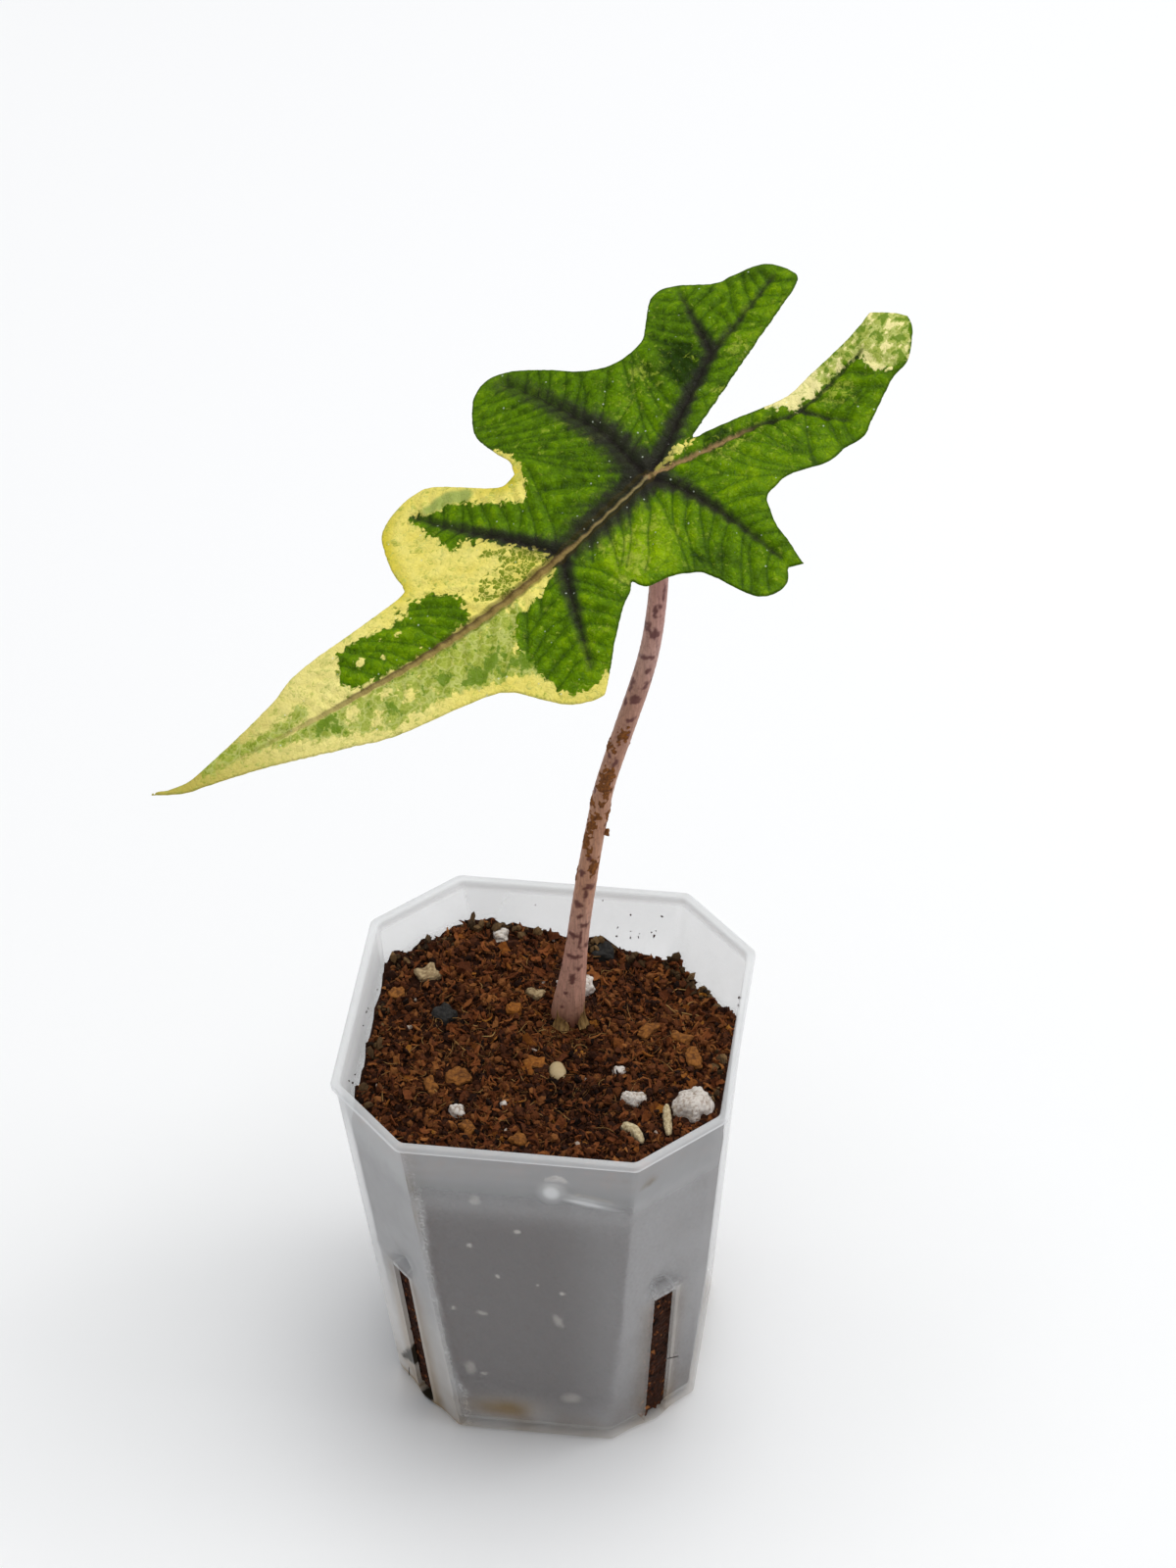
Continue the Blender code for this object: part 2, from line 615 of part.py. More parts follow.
def crease_feet(veins, margin_line):
    """Points beside the veins where their creases run out, save where two veins or the margin meet."""
    feet = []
    for number, vein in enumerate(veins):
        run = np.gradient(vein, axis=0)
        normal = np.stack([-run[:, 1], run[:, 0]], axis=1) / np.linalg.norm(run, axis=1, keepdims=True)
        beside = np.vstack([vein + normal * LEAF.vein_foot, vein - normal * LEAF.vein_foot])
        others = [path for other, path in enumerate(veins) if other != number]
        clear = distance_to_paths(beside, others) > LEAF.vein_foot
        clear &= distance_to_paths(beside, [margin_line]) > LEAF.edge_room
        feet.append(beside[clear])
    return np.vstack(feet)


def blade_points():
    """The margin, the veins, and all the blade's points laid flat: these, the feet and the fill."""
    margin = np.vstack([smooth_path(part, LEAF.edge_step)[:-1] for part in LEAF_MARGIN])
    margin_line = np.vstack([margin, margin[:1]])
    veins = [smooth_path(vein, LEAF.vein_step) for vein in LEAF_VEINS.values()]
    feet = crease_feet(veins, margin_line)
    lowest, highest = margin.min(axis=0), margin.max(axis=0)
    rows = np.arange(lowest[1], highest[1], LEAF.spacing * math.sqrt(3) / 2)
    columns = np.arange(lowest[0], highest[0], LEAF.spacing)
    fill = np.array([(x + (n % 2) * LEAF.spacing / 2, y) for n, y in enumerate(rows) for x in columns])
    clear = distance_to_paths(fill, [margin_line]) > LEAF.edge_room
    clear &= distance_to_paths(fill, veins) > LEAF.vein_foot
    clear &= np.linalg.norm(fill[:, None] - feet[None], axis=2).min(axis=1) > LEAF.foot_room
    return margin, veins, np.vstack([margin, *veins, feet, fill[clear]])


def build_blade(collection, material):
    """The lobed blade: a waved open sheet of triangles, with the veins as creases, then Solidify."""
    margin, veins, places = blade_points()
    edges = []
    start = len(margin)
    for vein in veins:
        edges += [(start + i, start + i + 1) for i in range(len(vein) - 1)]
        start += len(vein)
    flat_points, _, faces, _, _, _ = geometry.delaunay_2d_cdt(
        [Vector(p) for p in places], edges, [list(range(len(margin)))], 1, 1e-3
    )
    flat_points = np.array([tuple(p) for p in flat_points])
    to_vein = distance_to_paths(flat_points, veins)
    crease = np.exp(-((to_vein / LEAF.vein_width) ** 2))
    rise = leaf_rise(flat_points[:, 0], flat_points[:, 1]) - LEAF.vein_depth * crease
    junction, along, across, up = leaf_frame()
    made = bmesh.new()
    verts = [made.verts.new(junction + along * a + across * b + up * h)
             for (a, b), h in zip(flat_points, rise)]
    for face in faces:
        made.faces.new([verts[i] for i in face])
    bmesh.ops.delete(made, geom=[v for v in made.verts if not v.link_faces], context="VERTS")
    bmesh.ops.triangulate(made, faces=made.faces)
    bmesh.ops.recalc_face_normals(made, faces=made.faces)
    if sum(face.normal.dot(up) for face in made.faces) < 0:
        bmesh.ops.reverse_faces(made, faces=made.faces)
    bmesh.ops.scale(made, vec=(MM, MM, MM), verts=made.verts)
    mesh = bpy.data.meshes.new("leaf_blade")
    made.to_mesh(mesh)
    made.free()
    blade = new_object("leaf_blade", mesh, collection, material)
    ribs = blade.vertex_groups.new(name="ribs")
    places = np.array([vert.co for vert in mesh.vertices]) / MM
    local = (places - np.array(junction)) @ np.array([along, across]).T
    near = np.exp(-((distance_to_paths(local, veins) / LEAF.vein_width) ** 2))
    for index, weight in enumerate(near):
        ribs.add([index], float(weight), "REPLACE")
    solid = blade.modifiers.new("thickness", "SOLIDIFY")
    solid.thickness = LEAF.rib_thickness * MM
    solid.offset = -1.0
    solid.vertex_group = ribs.name
    solid.thickness_vertex_group = LEAF.thickness / LEAF.rib_thickness
    mesh.shade_smooth()
    return blade


def petiole_line():
    """The petiole's centre line and radii, ending just below the blade, square to it."""
    junction, _, _, up = leaf_frame()
    under = float(leaf_rise(0.0, 0.0)) - LEAF.vein_depth - LEAF.rib_thickness - GAP
    points = [point[:3] for point in PETIOLE]
    points += [tuple(junction + up * (under - below)) for below, _ in PETIOLE_NECK]
    radii = [point[3] for point in PETIOLE] + [radius for _, radius in PETIOLE_NECK]
    return points, radii


def build_petiole(collection, material, sockets):
    points, radii = petiole_line()
    tube("petiole", points, radii, collection, material, sides=3)
    x, y, z = points[0]
    foot = [(x, y, z - PETIOLE_SOCKET_DEPTH), *points[:3]]
    wide = [radius + SOCKET_ROOM.stem for radius in (radii[0], *radii[:3])]
    as_cutter(tube("petiole_socket", foot, wide, sockets, sides=3))


def build_scale_leaves(collection, material):
    """Dry pointed scales that stand on the mix and lean against the foot of the petiole."""
    foot_x, foot_y, _, foot_radius = PETIOLE[1]
    for name, (compass, height, width) in SCALES.items():
        angle = math.radians(compass)
        made = bmesh.new()
        rows = []
        stand_x = foot_x + SCALE.outward * math.cos(angle)
        stand_y = foot_y + SCALE.outward * math.sin(angle)
        base = float(mix_height(stand_x, stand_y)) + SCALE.lift
        for share in SCALE_ROWS:
            radius = foot_radius + SCALE.stand_off + SCALE.flare * (1 - share) ** 2
            half = width / 2 * (1 - SCALE.taper * share) / radius
            z = base + height * share
            rows.append([
                made.verts.new((foot_x + radius * math.cos(a), foot_y + radius * math.sin(a), z))
                for a in (angle - half, angle, angle + half)
            ])
        for below, above in zip(rows, rows[1:]):
            for i in range(2):
                made.faces.new((below[i], below[i + 1], above[i + 1], above[i]))
        bmesh.ops.triangulate(made, faces=made.faces)
        bmesh.ops.recalc_face_normals(made, faces=made.faces)
        bmesh.ops.scale(made, vec=(MM, MM, MM), verts=made.verts)
        mesh = bpy.data.meshes.new(name)
        made.to_mesh(mesh)
        made.free()
        scale = new_object(name, mesh, collection, material)
        solid = scale.modifiers.new("thickness", "SOLIDIFY")
        solid.thickness = SCALE.thickness * MM
        solid.offset = 0.0


def build():
    clear_scene()
    parts = new_collection("potted_alocasia")
    slot_cutters = new_collection("slot_cutters")
    sockets = new_collection("mix_sockets")
    new_collection("joined_shapes")
    clear = new_material("clear polypropylene", (0.80, 0.82, 0.83), 0.35, 0.45, 0.6)
    coir = new_material("coir and bark mix", (0.13, 0.035, 0.012), 0.95)
    white = new_material("perlite", (0.82, 0.80, 0.77), 0.9)
    brown = new_material("bark", (0.36, 0.13, 0.035), 0.85)
    black = new_material("charcoal", (0.02, 0.02, 0.022), 0.8)
    cream = new_material("pale seed", (0.72, 0.52, 0.26), 0.5)
    dead = new_material("dry root", (0.75, 0.62, 0.42), 0.7)
    corm = new_material("corm", (0.20, 0.11, 0.06), 0.85)
    stem = new_material("petiole", (0.33, 0.17, 0.17), 0.45)
    green = new_material("leaf", (0.07, 0.21, 0.015), 0.35)
    papery = new_material("dry scale leaf", (0.35, 0.26, 0.10), 0.8)
    build_pot(parts, clear, slot_cutters)
    build_grains(PERLITE, 0.16, 100, parts, white, sockets)
    build_grains(BARK, 0.14, 200, parts, brown, sockets)
    build_grains(CHARCOAL, 0.18, 300, parts, black, sockets)
    build_grains(SEED, 0.0, 400, parts, cream, sockets)
    build_root_ends(parts, dead, sockets)
    build_corm(parts, corm, sockets)
    build_petiole(parts, stem, sockets)
    build_blade(parts, green)
    build_scale_leaves(parts, papery)
    build_mix(parts, coir, sockets)


build()
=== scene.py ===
import math
from functools import partial

import bpy
import numpy as np
from mathutils import Matrix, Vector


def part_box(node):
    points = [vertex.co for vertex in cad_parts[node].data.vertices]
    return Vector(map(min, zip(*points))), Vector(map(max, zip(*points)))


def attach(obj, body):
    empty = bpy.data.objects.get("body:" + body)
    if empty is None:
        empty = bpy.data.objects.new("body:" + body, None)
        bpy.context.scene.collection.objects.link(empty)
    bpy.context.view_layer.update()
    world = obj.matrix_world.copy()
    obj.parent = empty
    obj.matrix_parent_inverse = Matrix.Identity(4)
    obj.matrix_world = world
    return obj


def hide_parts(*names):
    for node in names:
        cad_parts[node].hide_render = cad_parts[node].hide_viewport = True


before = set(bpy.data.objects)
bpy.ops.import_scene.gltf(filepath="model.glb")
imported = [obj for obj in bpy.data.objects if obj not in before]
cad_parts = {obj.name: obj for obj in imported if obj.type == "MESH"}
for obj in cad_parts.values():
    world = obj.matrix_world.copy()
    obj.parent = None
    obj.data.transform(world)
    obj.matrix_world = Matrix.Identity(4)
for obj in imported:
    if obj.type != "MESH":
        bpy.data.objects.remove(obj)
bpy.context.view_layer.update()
mm = 0.001


# Small tools

def linear(hexColour, alpha=1.0):
    # sRGB hex to the linear values that a shader wants
    parts = np.array([int(hexColour[i:i + 2], 16) for i in (1, 3, 5)]) / 255
    value = np.where(parts <= 0.04045, parts / 12.92, ((parts + 0.055) / 1.055) ** 2.4)
    return (*value.tolist(), alpha)


def plug(sockets, values):
    # stores fixed values and hex colours and links what a node gives, its first output in use unless named
    for socket, value in zip(sockets, values):
        if isinstance(value, bpy.types.Node):
            value = next(output for output in value.outputs if output.enabled)
        if isinstance(value, bpy.types.NodeSocket):
            socket.id_data.links.new(value, socket)
        else:
            socket.default_value = linear(value) if isinstance(value, str) else value


def addNode(tree, kind, *inputs, stops=(), **named):
    # one node; "Math ADD" is a Math node set to ADD. Plain inputs fill its sockets in order, a name with a
    # capital is a socket and another a setting, stops are a ramp's (position, colour), a mix is of colours
    kind, _, choice = kind.partition(" ")
    node = tree.nodes.new("ShaderNode" + kind)
    if kind == "Mix":
        node.data_type = choice or "RGBA"
    elif choice:
        node.operation = choice
    for name, value in named.items():
        if name[0].islower():
            setattr(node, name, value)
    for number, (position, hexColour) in enumerate(stops):
        elements = node.color_ramp.elements
        ends = {0: 0, len(stops) - 1: -1}
        element = elements[ends[number]] if number in ends else elements.new(position)
        element.position, element.color = position, linear(hexColour)
    plug([socket for socket in node.inputs if socket.enabled], inputs)
    sockets = [name for name in named if name[0].isupper()]
    plug([node.inputs[name] for name in sockets], [named[name] for name in sockets])
    return node


def newMaterial(name, fields=()):
    # a material with a function that adds its nodes, the place in mm and the mesh's fields
    material = bpy.data.materials.new(name)
    material.use_nodes = True
    add = partial(addNode, material.node_tree)
    inMm = add("VectorMath SCALE", add("TexCoord").outputs["Object"], 1 / mm)
    read = {key: add("Attribute", attribute_name=key).outputs["Fac"] for key in fields}
    return material, add, inMm, read


def finish(material, colour, roughness, relief=None, strength=0.0, depth=0.0, ior=1.5, gloss=0.5, alpha=1.0):
    # the shader's colour and sheen, and a relief that is depth mm high
    tree = material.node_tree
    inputs = tree.nodes["Principled BSDF"].inputs
    names = ("Base Color", "Roughness", "IOR", "Specular IOR Level", "Alpha")
    plug([inputs[name] for name in names], (colour, roughness, ior, gloss, alpha))
    if relief is not None:
        bump = addNode(tree, "Bump", Height=relief, Strength=strength, Distance=depth * mm)
        plug([inputs["Normal"]], [bump])
    return material


def softStep(low, high, value):
    # 0 below low, 1 above high, an S-shaped rise between
    share = np.clip((value - low) / (high - low), 0, 1)
    return share * share * (3 - 2 * share)


def bell(value):
    # 1 at zero, falling to both sides
    return np.exp(-(value**2))


def smoothPath(places, step):
    # points a step apart along a Catmull-Rom curve through the places
    places = np.array(places, float)
    padded = np.vstack([2 * places[0] - places[1], places, 2 * places[-1] - places[-2]])
    t = np.linspace(0, 1, 24, endpoint=False)[None, :, None]
    before, start, end, after = (padded[i:len(padded) - 3 + i, None] for i in range(4))
    dense = 0.5 * (2 * start + (end - before) * t
                   + (2 * before - 5 * start + 4 * end - after) * t**2
                   + (3 * start - before - 3 * end + after) * t**3)
    dense = np.vstack([dense.reshape(-1, places.shape[1]), places[-1:]])
    travelled = np.concatenate([[0], np.cumsum(np.linalg.norm(np.diff(dense, axis=0), axis=1))])
    stations = np.linspace(0, travelled[-1], max(2, round(travelled[-1] / step) + 1))
    return np.stack([np.interp(stations, travelled, axis) for axis in dense.T], axis=1)


def waveNoise(points, size, seed, count=28):
    # smooth noise from -1 to 1: the mean of plane waves, each size long, in seeded directions
    draw = np.random.default_rng(seed)
    directions = draw.normal(size=(count, points.shape[1]))
    directions /= np.linalg.norm(directions, axis=1, keepdims=True)
    lengths = size * draw.uniform(0.7, 1.5, count)
    phases = draw.uniform(0, 2 * math.pi, count)
    total = np.zeros(len(points))
    for direction, length, phase in zip(directions, lengths, phases):
        total += np.sin(points @ direction * (2 * math.pi / length) + phase)
    return np.clip(total / math.sqrt(count) / 1.6, -1, 1)


def nearestOnPath(places, path):
    # distance to the nearest point of a drawn line, that point, and how far along the line it is
    nearest = np.full(len(places), np.inf)
    spot = np.zeros_like(places)
    along = np.zeros(len(places))
    lengths = np.linalg.norm(np.diff(path, axis=0), axis=1)
    starts = np.concatenate([[0], np.cumsum(lengths)])
    for i, (start, end) in enumerate(zip(path[:-1], path[1:])):
        run = end - start
        share = np.clip((places - start) @ run / max(run @ run, 1e-12), 0, 1)
        closest = start + share[:, None] * run
        gap = np.linalg.norm(places - closest, axis=1)
        better = gap < nearest
        nearest[better] = gap[better]
        spot[better] = closest[better]
        along[better] = starts[i] + share[better] * lengths[i]
    return nearest, spot, along / starts[-1]


def insideLoop(places, loop):
    # even-odd rule: how often a ray along the first axis crosses the loop
    inside = np.zeros(len(places), bool)
    for start, end in zip(loop, np.roll(loop, -1, axis=0)):
        if start[1] == end[1]:
            continue
        spans = (start[1] > places[:, 1]) != (end[1] > places[:, 1])
        cross = start[0] + (places[:, 1] - start[1]) * (end[0] - start[0]) / (end[1] - start[1])
        inside ^= spans & (places[:, 0] < cross)
    return inside


def insideBy(places, loop):
    # signed distance to a closed loop, positive inside
    loop = np.array(loop, float)
    gap = nearestOnPath(places, np.vstack([loop, loop[:1]]))[0]
    return np.where(insideLoop(places, loop), gap, -gap)


def newPiece(name, points, faces, material, nodes=(), fields=None, smooth=True, materialIndex=None):
    # a mesh from arrays: faces is a list of index arrays, each with its own number of corners
    mesh = bpy.data.meshes.new(name)
    sizes = np.concatenate([np.full(len(part), part.shape[1]) for part in faces])
    corners = np.concatenate([part.ravel() for part in faces])
    mesh.vertices.add(len(points))
    mesh.vertices.foreach_set("co", (np.asarray(points) * mm).astype(np.float32).ravel())
    mesh.loops.add(len(corners))
    mesh.loops.foreach_set("vertex_index", corners.astype(np.int32))
    mesh.polygons.add(len(sizes))
    mesh.polygons.foreach_set("loop_start", np.concatenate([[0], np.cumsum(sizes)[:-1]]).astype(np.int32))
    mesh.polygons.foreach_set("use_smooth", np.full(len(sizes), smooth))
    for one in material if isinstance(material, (list, tuple)) else [material]:
        mesh.materials.append(one)
    if materialIndex is not None:
        mesh.polygons.foreach_set("material_index", materialIndex.astype(np.int32))
    mesh.update(calc_edges=True)
    mesh.validate()
    for field, values in (fields or {}).items():
        attribute = mesh.attributes.new(field, "FLOAT", "POINT")
        attribute.data.foreach_set("value", np.asarray(values, np.float32))
    piece = bpy.data.objects.new(name, mesh)
    bpy.context.scene.collection.objects.link(piece)
    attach(piece, "root")
    if nodes:
        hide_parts(*nodes)
    return piece


def gridFaces(rows, columns, wrap=False):
    # four-sided faces of a grid of points, joined round when wrap is on
    across = columns if wrap else columns - 1
    row, column = np.meshgrid(np.arange(rows - 1), np.arange(across), indexing="ij")
    nextColumn = (column + 1) % columns
    return np.stack([row * columns + column, row * columns + nextColumn,
                     (row + 1) * columns + nextColumn, (row + 1) * columns + column],
                    axis=-1).reshape(-1, 4)


def endFans(rows, columns):
    # a fan of triangles at each end of a wrapped grid, round the two points that follow the grid's own
    spoke = np.arange(columns)
    after, last, total = (spoke + 1) % columns, (rows - 1) * columns, rows * columns
    return np.vstack([np.stack([after, spoke, np.full(columns, total)], axis=1),
                      np.stack([last + spoke, last + after, np.full(columns, total + 1)], axis=1)])


def sheetFaces(rows, columns):
    # a closed thin sheet: a grid, the same grid behind it turned round, and the rim between them
    faces, count = gridFaces(rows, columns), rows * columns
    index = np.arange(count).reshape(rows, columns)
    border = np.concatenate([index[0], index[1:, -1], index[-1, -2::-1], index[-2:0:-1, 0]])
    after = np.roll(border, -1)
    rim = np.stack([border, border + count, after + count, after], axis=1)
    return np.vstack([faces, faces[:, ::-1] + count, rim])


def repeated(faces, count, corners):
    # the same faces for each of many copies that have so many corners
    shift = (np.arange(count) * corners)[:, None, None]
    return [(part[None] + shift).reshape(-1, part.shape[1]) for part in faces]


def tubeAlong(line, radii, sides):
    # a closed tube: circles of the given radii square to the line, with a fan at each end
    tangent = np.gradient(line, axis=0)
    tangent /= np.linalg.norm(tangent, axis=1, keepdims=True)
    helper = np.eye(3)[np.argmin(np.abs(tangent).mean(axis=0))]
    first = np.cross(tangent, helper)
    first /= np.linalg.norm(first, axis=1, keepdims=True)
    second = np.cross(tangent, first)
    angle = np.linspace(0, 2 * math.pi, sides, endpoint=False)[None, :, None]
    radii = np.broadcast_to(np.asarray(radii, float).reshape(len(line), -1), (len(line), sides))
    ring = first[:, None] * np.cos(angle) + second[:, None] * np.sin(angle)
    points = (line[:, None] + ring * radii[..., None]).reshape(-1, 3)
    points = np.vstack([points, line[:1], line[-1:]])
    return points, [gridFaces(len(line), sides, wrap=True), endFans(len(line), sides)]


# The camera stands where the photograph's did, worked out from the pot's corners

camera = dict(
    place=(108.43, -628.89, 700.34),
    right=(0.99019513, 0.13810004, -0.02102325),
    up=(-0.07608587, 0.65940426, 0.74792845),
    lens=115.7,
    sensor=36.0,
    farEnd=20.0,  # metres
)


def stand(thing, place, right, up):
    # sets a camera or a lamp at a place in metres, square to its own right and up
    turned = Matrix(np.stack([right, up, np.cross(right, up)], axis=1).tolist()).to_4x4()
    turned.translation = place
    thing.matrix_world = turned
    bpy.context.scene.collection.objects.link(thing)


def placeCamera():
    # the eye with its lens, at the place and with the directions above
    data = bpy.data.cameras.new("camera")
    data.lens, data.sensor_width, data.clip_end = camera["lens"], camera["sensor"], camera["farEnd"]
    eye = bpy.data.objects.new("camera", data)
    stand(eye, [value * mm for value in camera["place"]], camera["right"], camera["up"])
    bpy.context.scene.camera = eye


# Leaf blade

leaf = dict(
    junction=(17.0, 17.7, 189.0),
    heading=228.75,  # compass angle of the midrib
    slope=18.0,
    roll=-6.0,
    droopAlong=0.0008,
    droopAcross=0.0015,
    cell=0.38,  # spacing of the surface's points
    halfSpan=42.0,  # how far the grid reaches to each side of the midrib
    marginStep=0.4,
    veinStep=0.8,
    nick=0.16,  # how far the margin wanders in
    thickness=0.5,
    marginThickness=0.28,
    ribRise=0.75,  # how far the main veins stand out below
    ribWidth=0.8,
    grooveDepth=0.6,
    grooveWidth=0.75,
    quiltRise=0.42,  # the tissue domes between the side veins
    quiltWidth=0.8,
    sideVeinStep=3.0,
    sideVeinLength=16,
    seed=31,
)
# Places on the blade are (toward the tip, toward the right edge) from the junction.
leafWaves = (  # along, across, height, spread
    (-44, -14, 1.5, 12), (-32, -30, -1.5, 10), (-14, -26, 1.5, 8), (4, -38, -3.0, 12),
    (12, -20, 1.5, 7), (33, -30, -3.0, 10), (55, -20, 1.0, 10), (37, 22, -2.0, 10),
    (20, 15, 1.0, 7), (-3, 31, -2.5, 11), (-9, 20, 1.2, 7), (-28, 21, -1.5, 9), (-50, 9, 2.5, 10),
)
leafMargin = (
    ((-10, 0.3), (-18.5, -2), (-30, -5), (-38.5, -7), (-43.5, -8.5), (-45, -10.5), (-43.5, -16),
     (-38.5, -19), (-35.5, -20.5), (-31, -26.5), (-27, -27.5), (-22, -23.5), (-19, -21), (-15, -20.5),
     (-11.5, -21.5), (-8, -25), (-5, -31.5), (-2, -36.5), (1.5, -39), (5, -38.5), (8, -36),
     (11.5, -31), (12.5, -24), (12.5, -20.5), (14, -17.5)),
    ((14, -17.5), (17.5, -18.5), (22.5, -28.5), (25.5, -31), (30, -31.5), (34.5, -30), (37, -26.5),
     (39.5, -21), (40.5, -17.3), (42.5, -16), (52.5, -17), (63.5, -19), (69.5, -18.5), (81, -19),
     (88.5, -20.2), (94.3, -24.5)),
    ((94.3, -24.5), (90, -19), (86.5, -16.5), (78, -10.5), (70, -4), (61, 2.7), (51, 7.2),
     (45.5, 9.6), (42.5, 12), (39.5, 17.5), (37.5, 20.5), (33.5, 23.3), (31, 22.4), (25, 18.4),
     (19.5, 15.2), (17.5, 14.4), (16, 13.1)),
    ((16, 13.1), (15, 15.6), (11, 17), (8.5, 18.5), (6.5, 20.7), (4.5, 27.5), (3, 30), (0.5, 31.1),
     (-2, 30.7), (-3.5, 29.1)),
    ((-3.5, 29.1), (-5.8, 30.5)),
    ((-5.8, 30.5), (-7, 26), (-7.7, 22.5), (-9, 20), (-10.3, 18.1), (-12.7, 17.6), (-16, 17.6),
     (-22, 20), (-26, 20.1), (-29.6, 20.8), (-33, 19.6), (-40, 17.3), (-43.6, 17.1), (-46, 16),
     (-49.2, 13.4), (-50.4, 11.2)),
    ((-50.4, 11.2), (-49.3, 9.2), (-46.7, 5.9)),
    ((-46.7, 5.9), (-41.5, 6.6), (-31.4, 6.3), (-27.8, 6.4), (-24.4, 5.7), (-16, 2.4), (-10, 0.3)),
)
# Main veins: the line, its half width at both ends, the dark halo's reach at both ends, the share of
# the vein at which the halo has ended, and its strength.
leafVeins = {
    "midrib": (((0, 0), (10, 0.2), (19.5, 0.2), (31.5, -0.8), (40, -2.2), (50, -4.4), (59, -7.3),
                (67, -10.2), (83.5, -17.4), (91, -21.8)), 0.34, 0.22, 4.6, 3.0, 0.27, 0.96),
    "left back": (((0, 0), (-5.5, -1.6), (-13, -5), (-24.5, -9.7), (-31, -10.7), (-42, -12.8)),
                  0.34, 0.12, 2.9, 0.75, 1.3, 0.95),
    "left back branch": (((-24.5, -9.7), (-26.5, -14.5), (-30.5, -24)), 0.24, 0.1, 1.5, 0.7, 1.3, 0.85),
    "left side": (((0, 0), (-1.5, -11.5), (-1, -18.5), (0, -32.5), (1, -36)),
                  0.32, 0.12, 4.1, 2.4, 1.3, 0.95),
    "right back": (((0, 0), (-9, 3.4), (-19, 6.7), (-26, 9.7), (-40.5, 10)), 0.26, 0.1, 0.9, 0.35, 1.2, 0.55),
    "right back branch": (((-26, 9.7), (-27.7, 13.3), (-30.5, 17.2)), 0.2, 0.08, 0.6, 0.4, 1.3, 0.6),
    "right side": (((0, 0), (-2.3, 6.7), (-3.4, 17.5), (-4, 27)), 0.3, 0.12, 2.3, 0.65, 1.3, 0.9),
    "left front": (((19.5, 0.2), (21.5, -5.2), (26.5, -18), (29, -28)), 0.32, 0.14, 2.5, 1.0, 1.3, 0.95),
    "right front": (((19.5, 0.2), (21.5, 2.8), (27, 11.8), (31, 18.5)), 0.32, 0.14, 2.2, 0.9, 1.3, 0.85),
}
# Cream sector from the left front lobe to the tip, its boundary against the green first.
creamFront = (
    (12.5, -25.2), (11.4, -21.4), (11.6, -18.7), (12.7, -16.6), (14.0, -14.7), (15.2, -13.0), (16.4, -12.2),
    (20.0, -16.6), (22.6, -21.9), (24.7, -24.0), (26.8, -25.0), (28.2, -27.6), (29.6, -28.3), (30.5, -26.3),
    (29.9, -24.5), (30.7, -22.1), (30.0, -20.0), (30.4, -17.0), (29.8, -15.2), (28.2, -16.2), (27.2, -15.2),
    (27.5, -13.7), (26.2, -13.7), (25.1, -10.7), (24.4, -9.1), (22.5, -5.9), (21.0, -2.6), (21.6, -0.6),
    (23.4, 1.6), (26.0, 3.0), (29.0, 3.2), (33.0, 3.4), (35.4, 4.9), (36.9, 8.9), (37.2, 13.2), (37.6, 16.9),
    (36.1, 19.6), (33.2, 21.6), (30.0, 20.9), (29, 26), (45, 26), (60, 15), (98, -12), (100, -30), (60, -26),
    (35, -38), (23, -34), (18, -27), (14.2, -27.5),
)
greenPatch = (
    (57.6, -14.6), (59.5, -11.3), (59.7, -8.9), (57.7, -8.0), (53.0, -6.2), (48.2, -4.4), (43.0, -3.2),
    (38.5, -2.8), (37.2, -5.0), (36.1, -7.5), (37.0, -9.6), (38.3, -11.8), (40.9, -13.3), (44.7, -13.5),
    (46.2, -12.6), (50.5, -14.1), (53.8, -15.6), (56.3, -15.6),
)
# Cream of the right back lobe: a strip along the notch, and the mottled end.
creamStrip = (
    (-22.2, 5.7), (-24.4, 7.3), (-25.1, 9.1), (-29.1, 9.4), (-33.2, 9.5), (-36.9, 9.4), (-40.2, 10.4),
    (-38.9, 13.0), (-40.2, 15.4), (-44.9, 16.7), (-49.8, 12.0), (-51.0, 10.5), (-47.0, 4.5), (-40.8, 4.5),
    (-37.7, 5.0), (-31.4, 5.0), (-27.8, 5.0), (-22.4, 4.9),
)
sinusStrip = ((-1.6, 0.5), (-5.0, 0.35), (-9.9, 0.6))
greyZone = ((26.8, -25.8), (23.6, -25.0), (21.6, -22.4))
fringeZone = (
    (28.5, -11.2), (26.1, -10.1), (22.3, -5.1), (21.0, -1.1), (25.1, -1.3), (28.1, -1.7), (30.5, -0.9),
    (34.6, -3.7), (34.3, -5.8), (31.6, -6.9), (29.5, -6.4), (26.1, -5.5),
)
mottleLimit = (
    (30.0, 14.6), (37.6, 12.8), (42.3, 9.5), (46.5, 7.2), (49.4, 5.3), (54.1, 3.6), (60.5, 1.8), (63.6, -1.7),
    (68.1, -5.6), (71.5, -9.0), (73.7, -11.0), (80.0, -15.2), (86.0, -18.0), (86, -22), (60, -9),
    (30, -2),
)
mottledStrip = ((-33.6, 8.4), (-35.5, 6.7), (-39.4, 6.3), (-43.4, 6.0), (-43.9, 8.6), (-38.0, 8.9))
tipZone = ((84.5, -18.8), (79.5, -17.2), (74.9, -14.1), (71.0, -13.1), (67.8, -12.9))
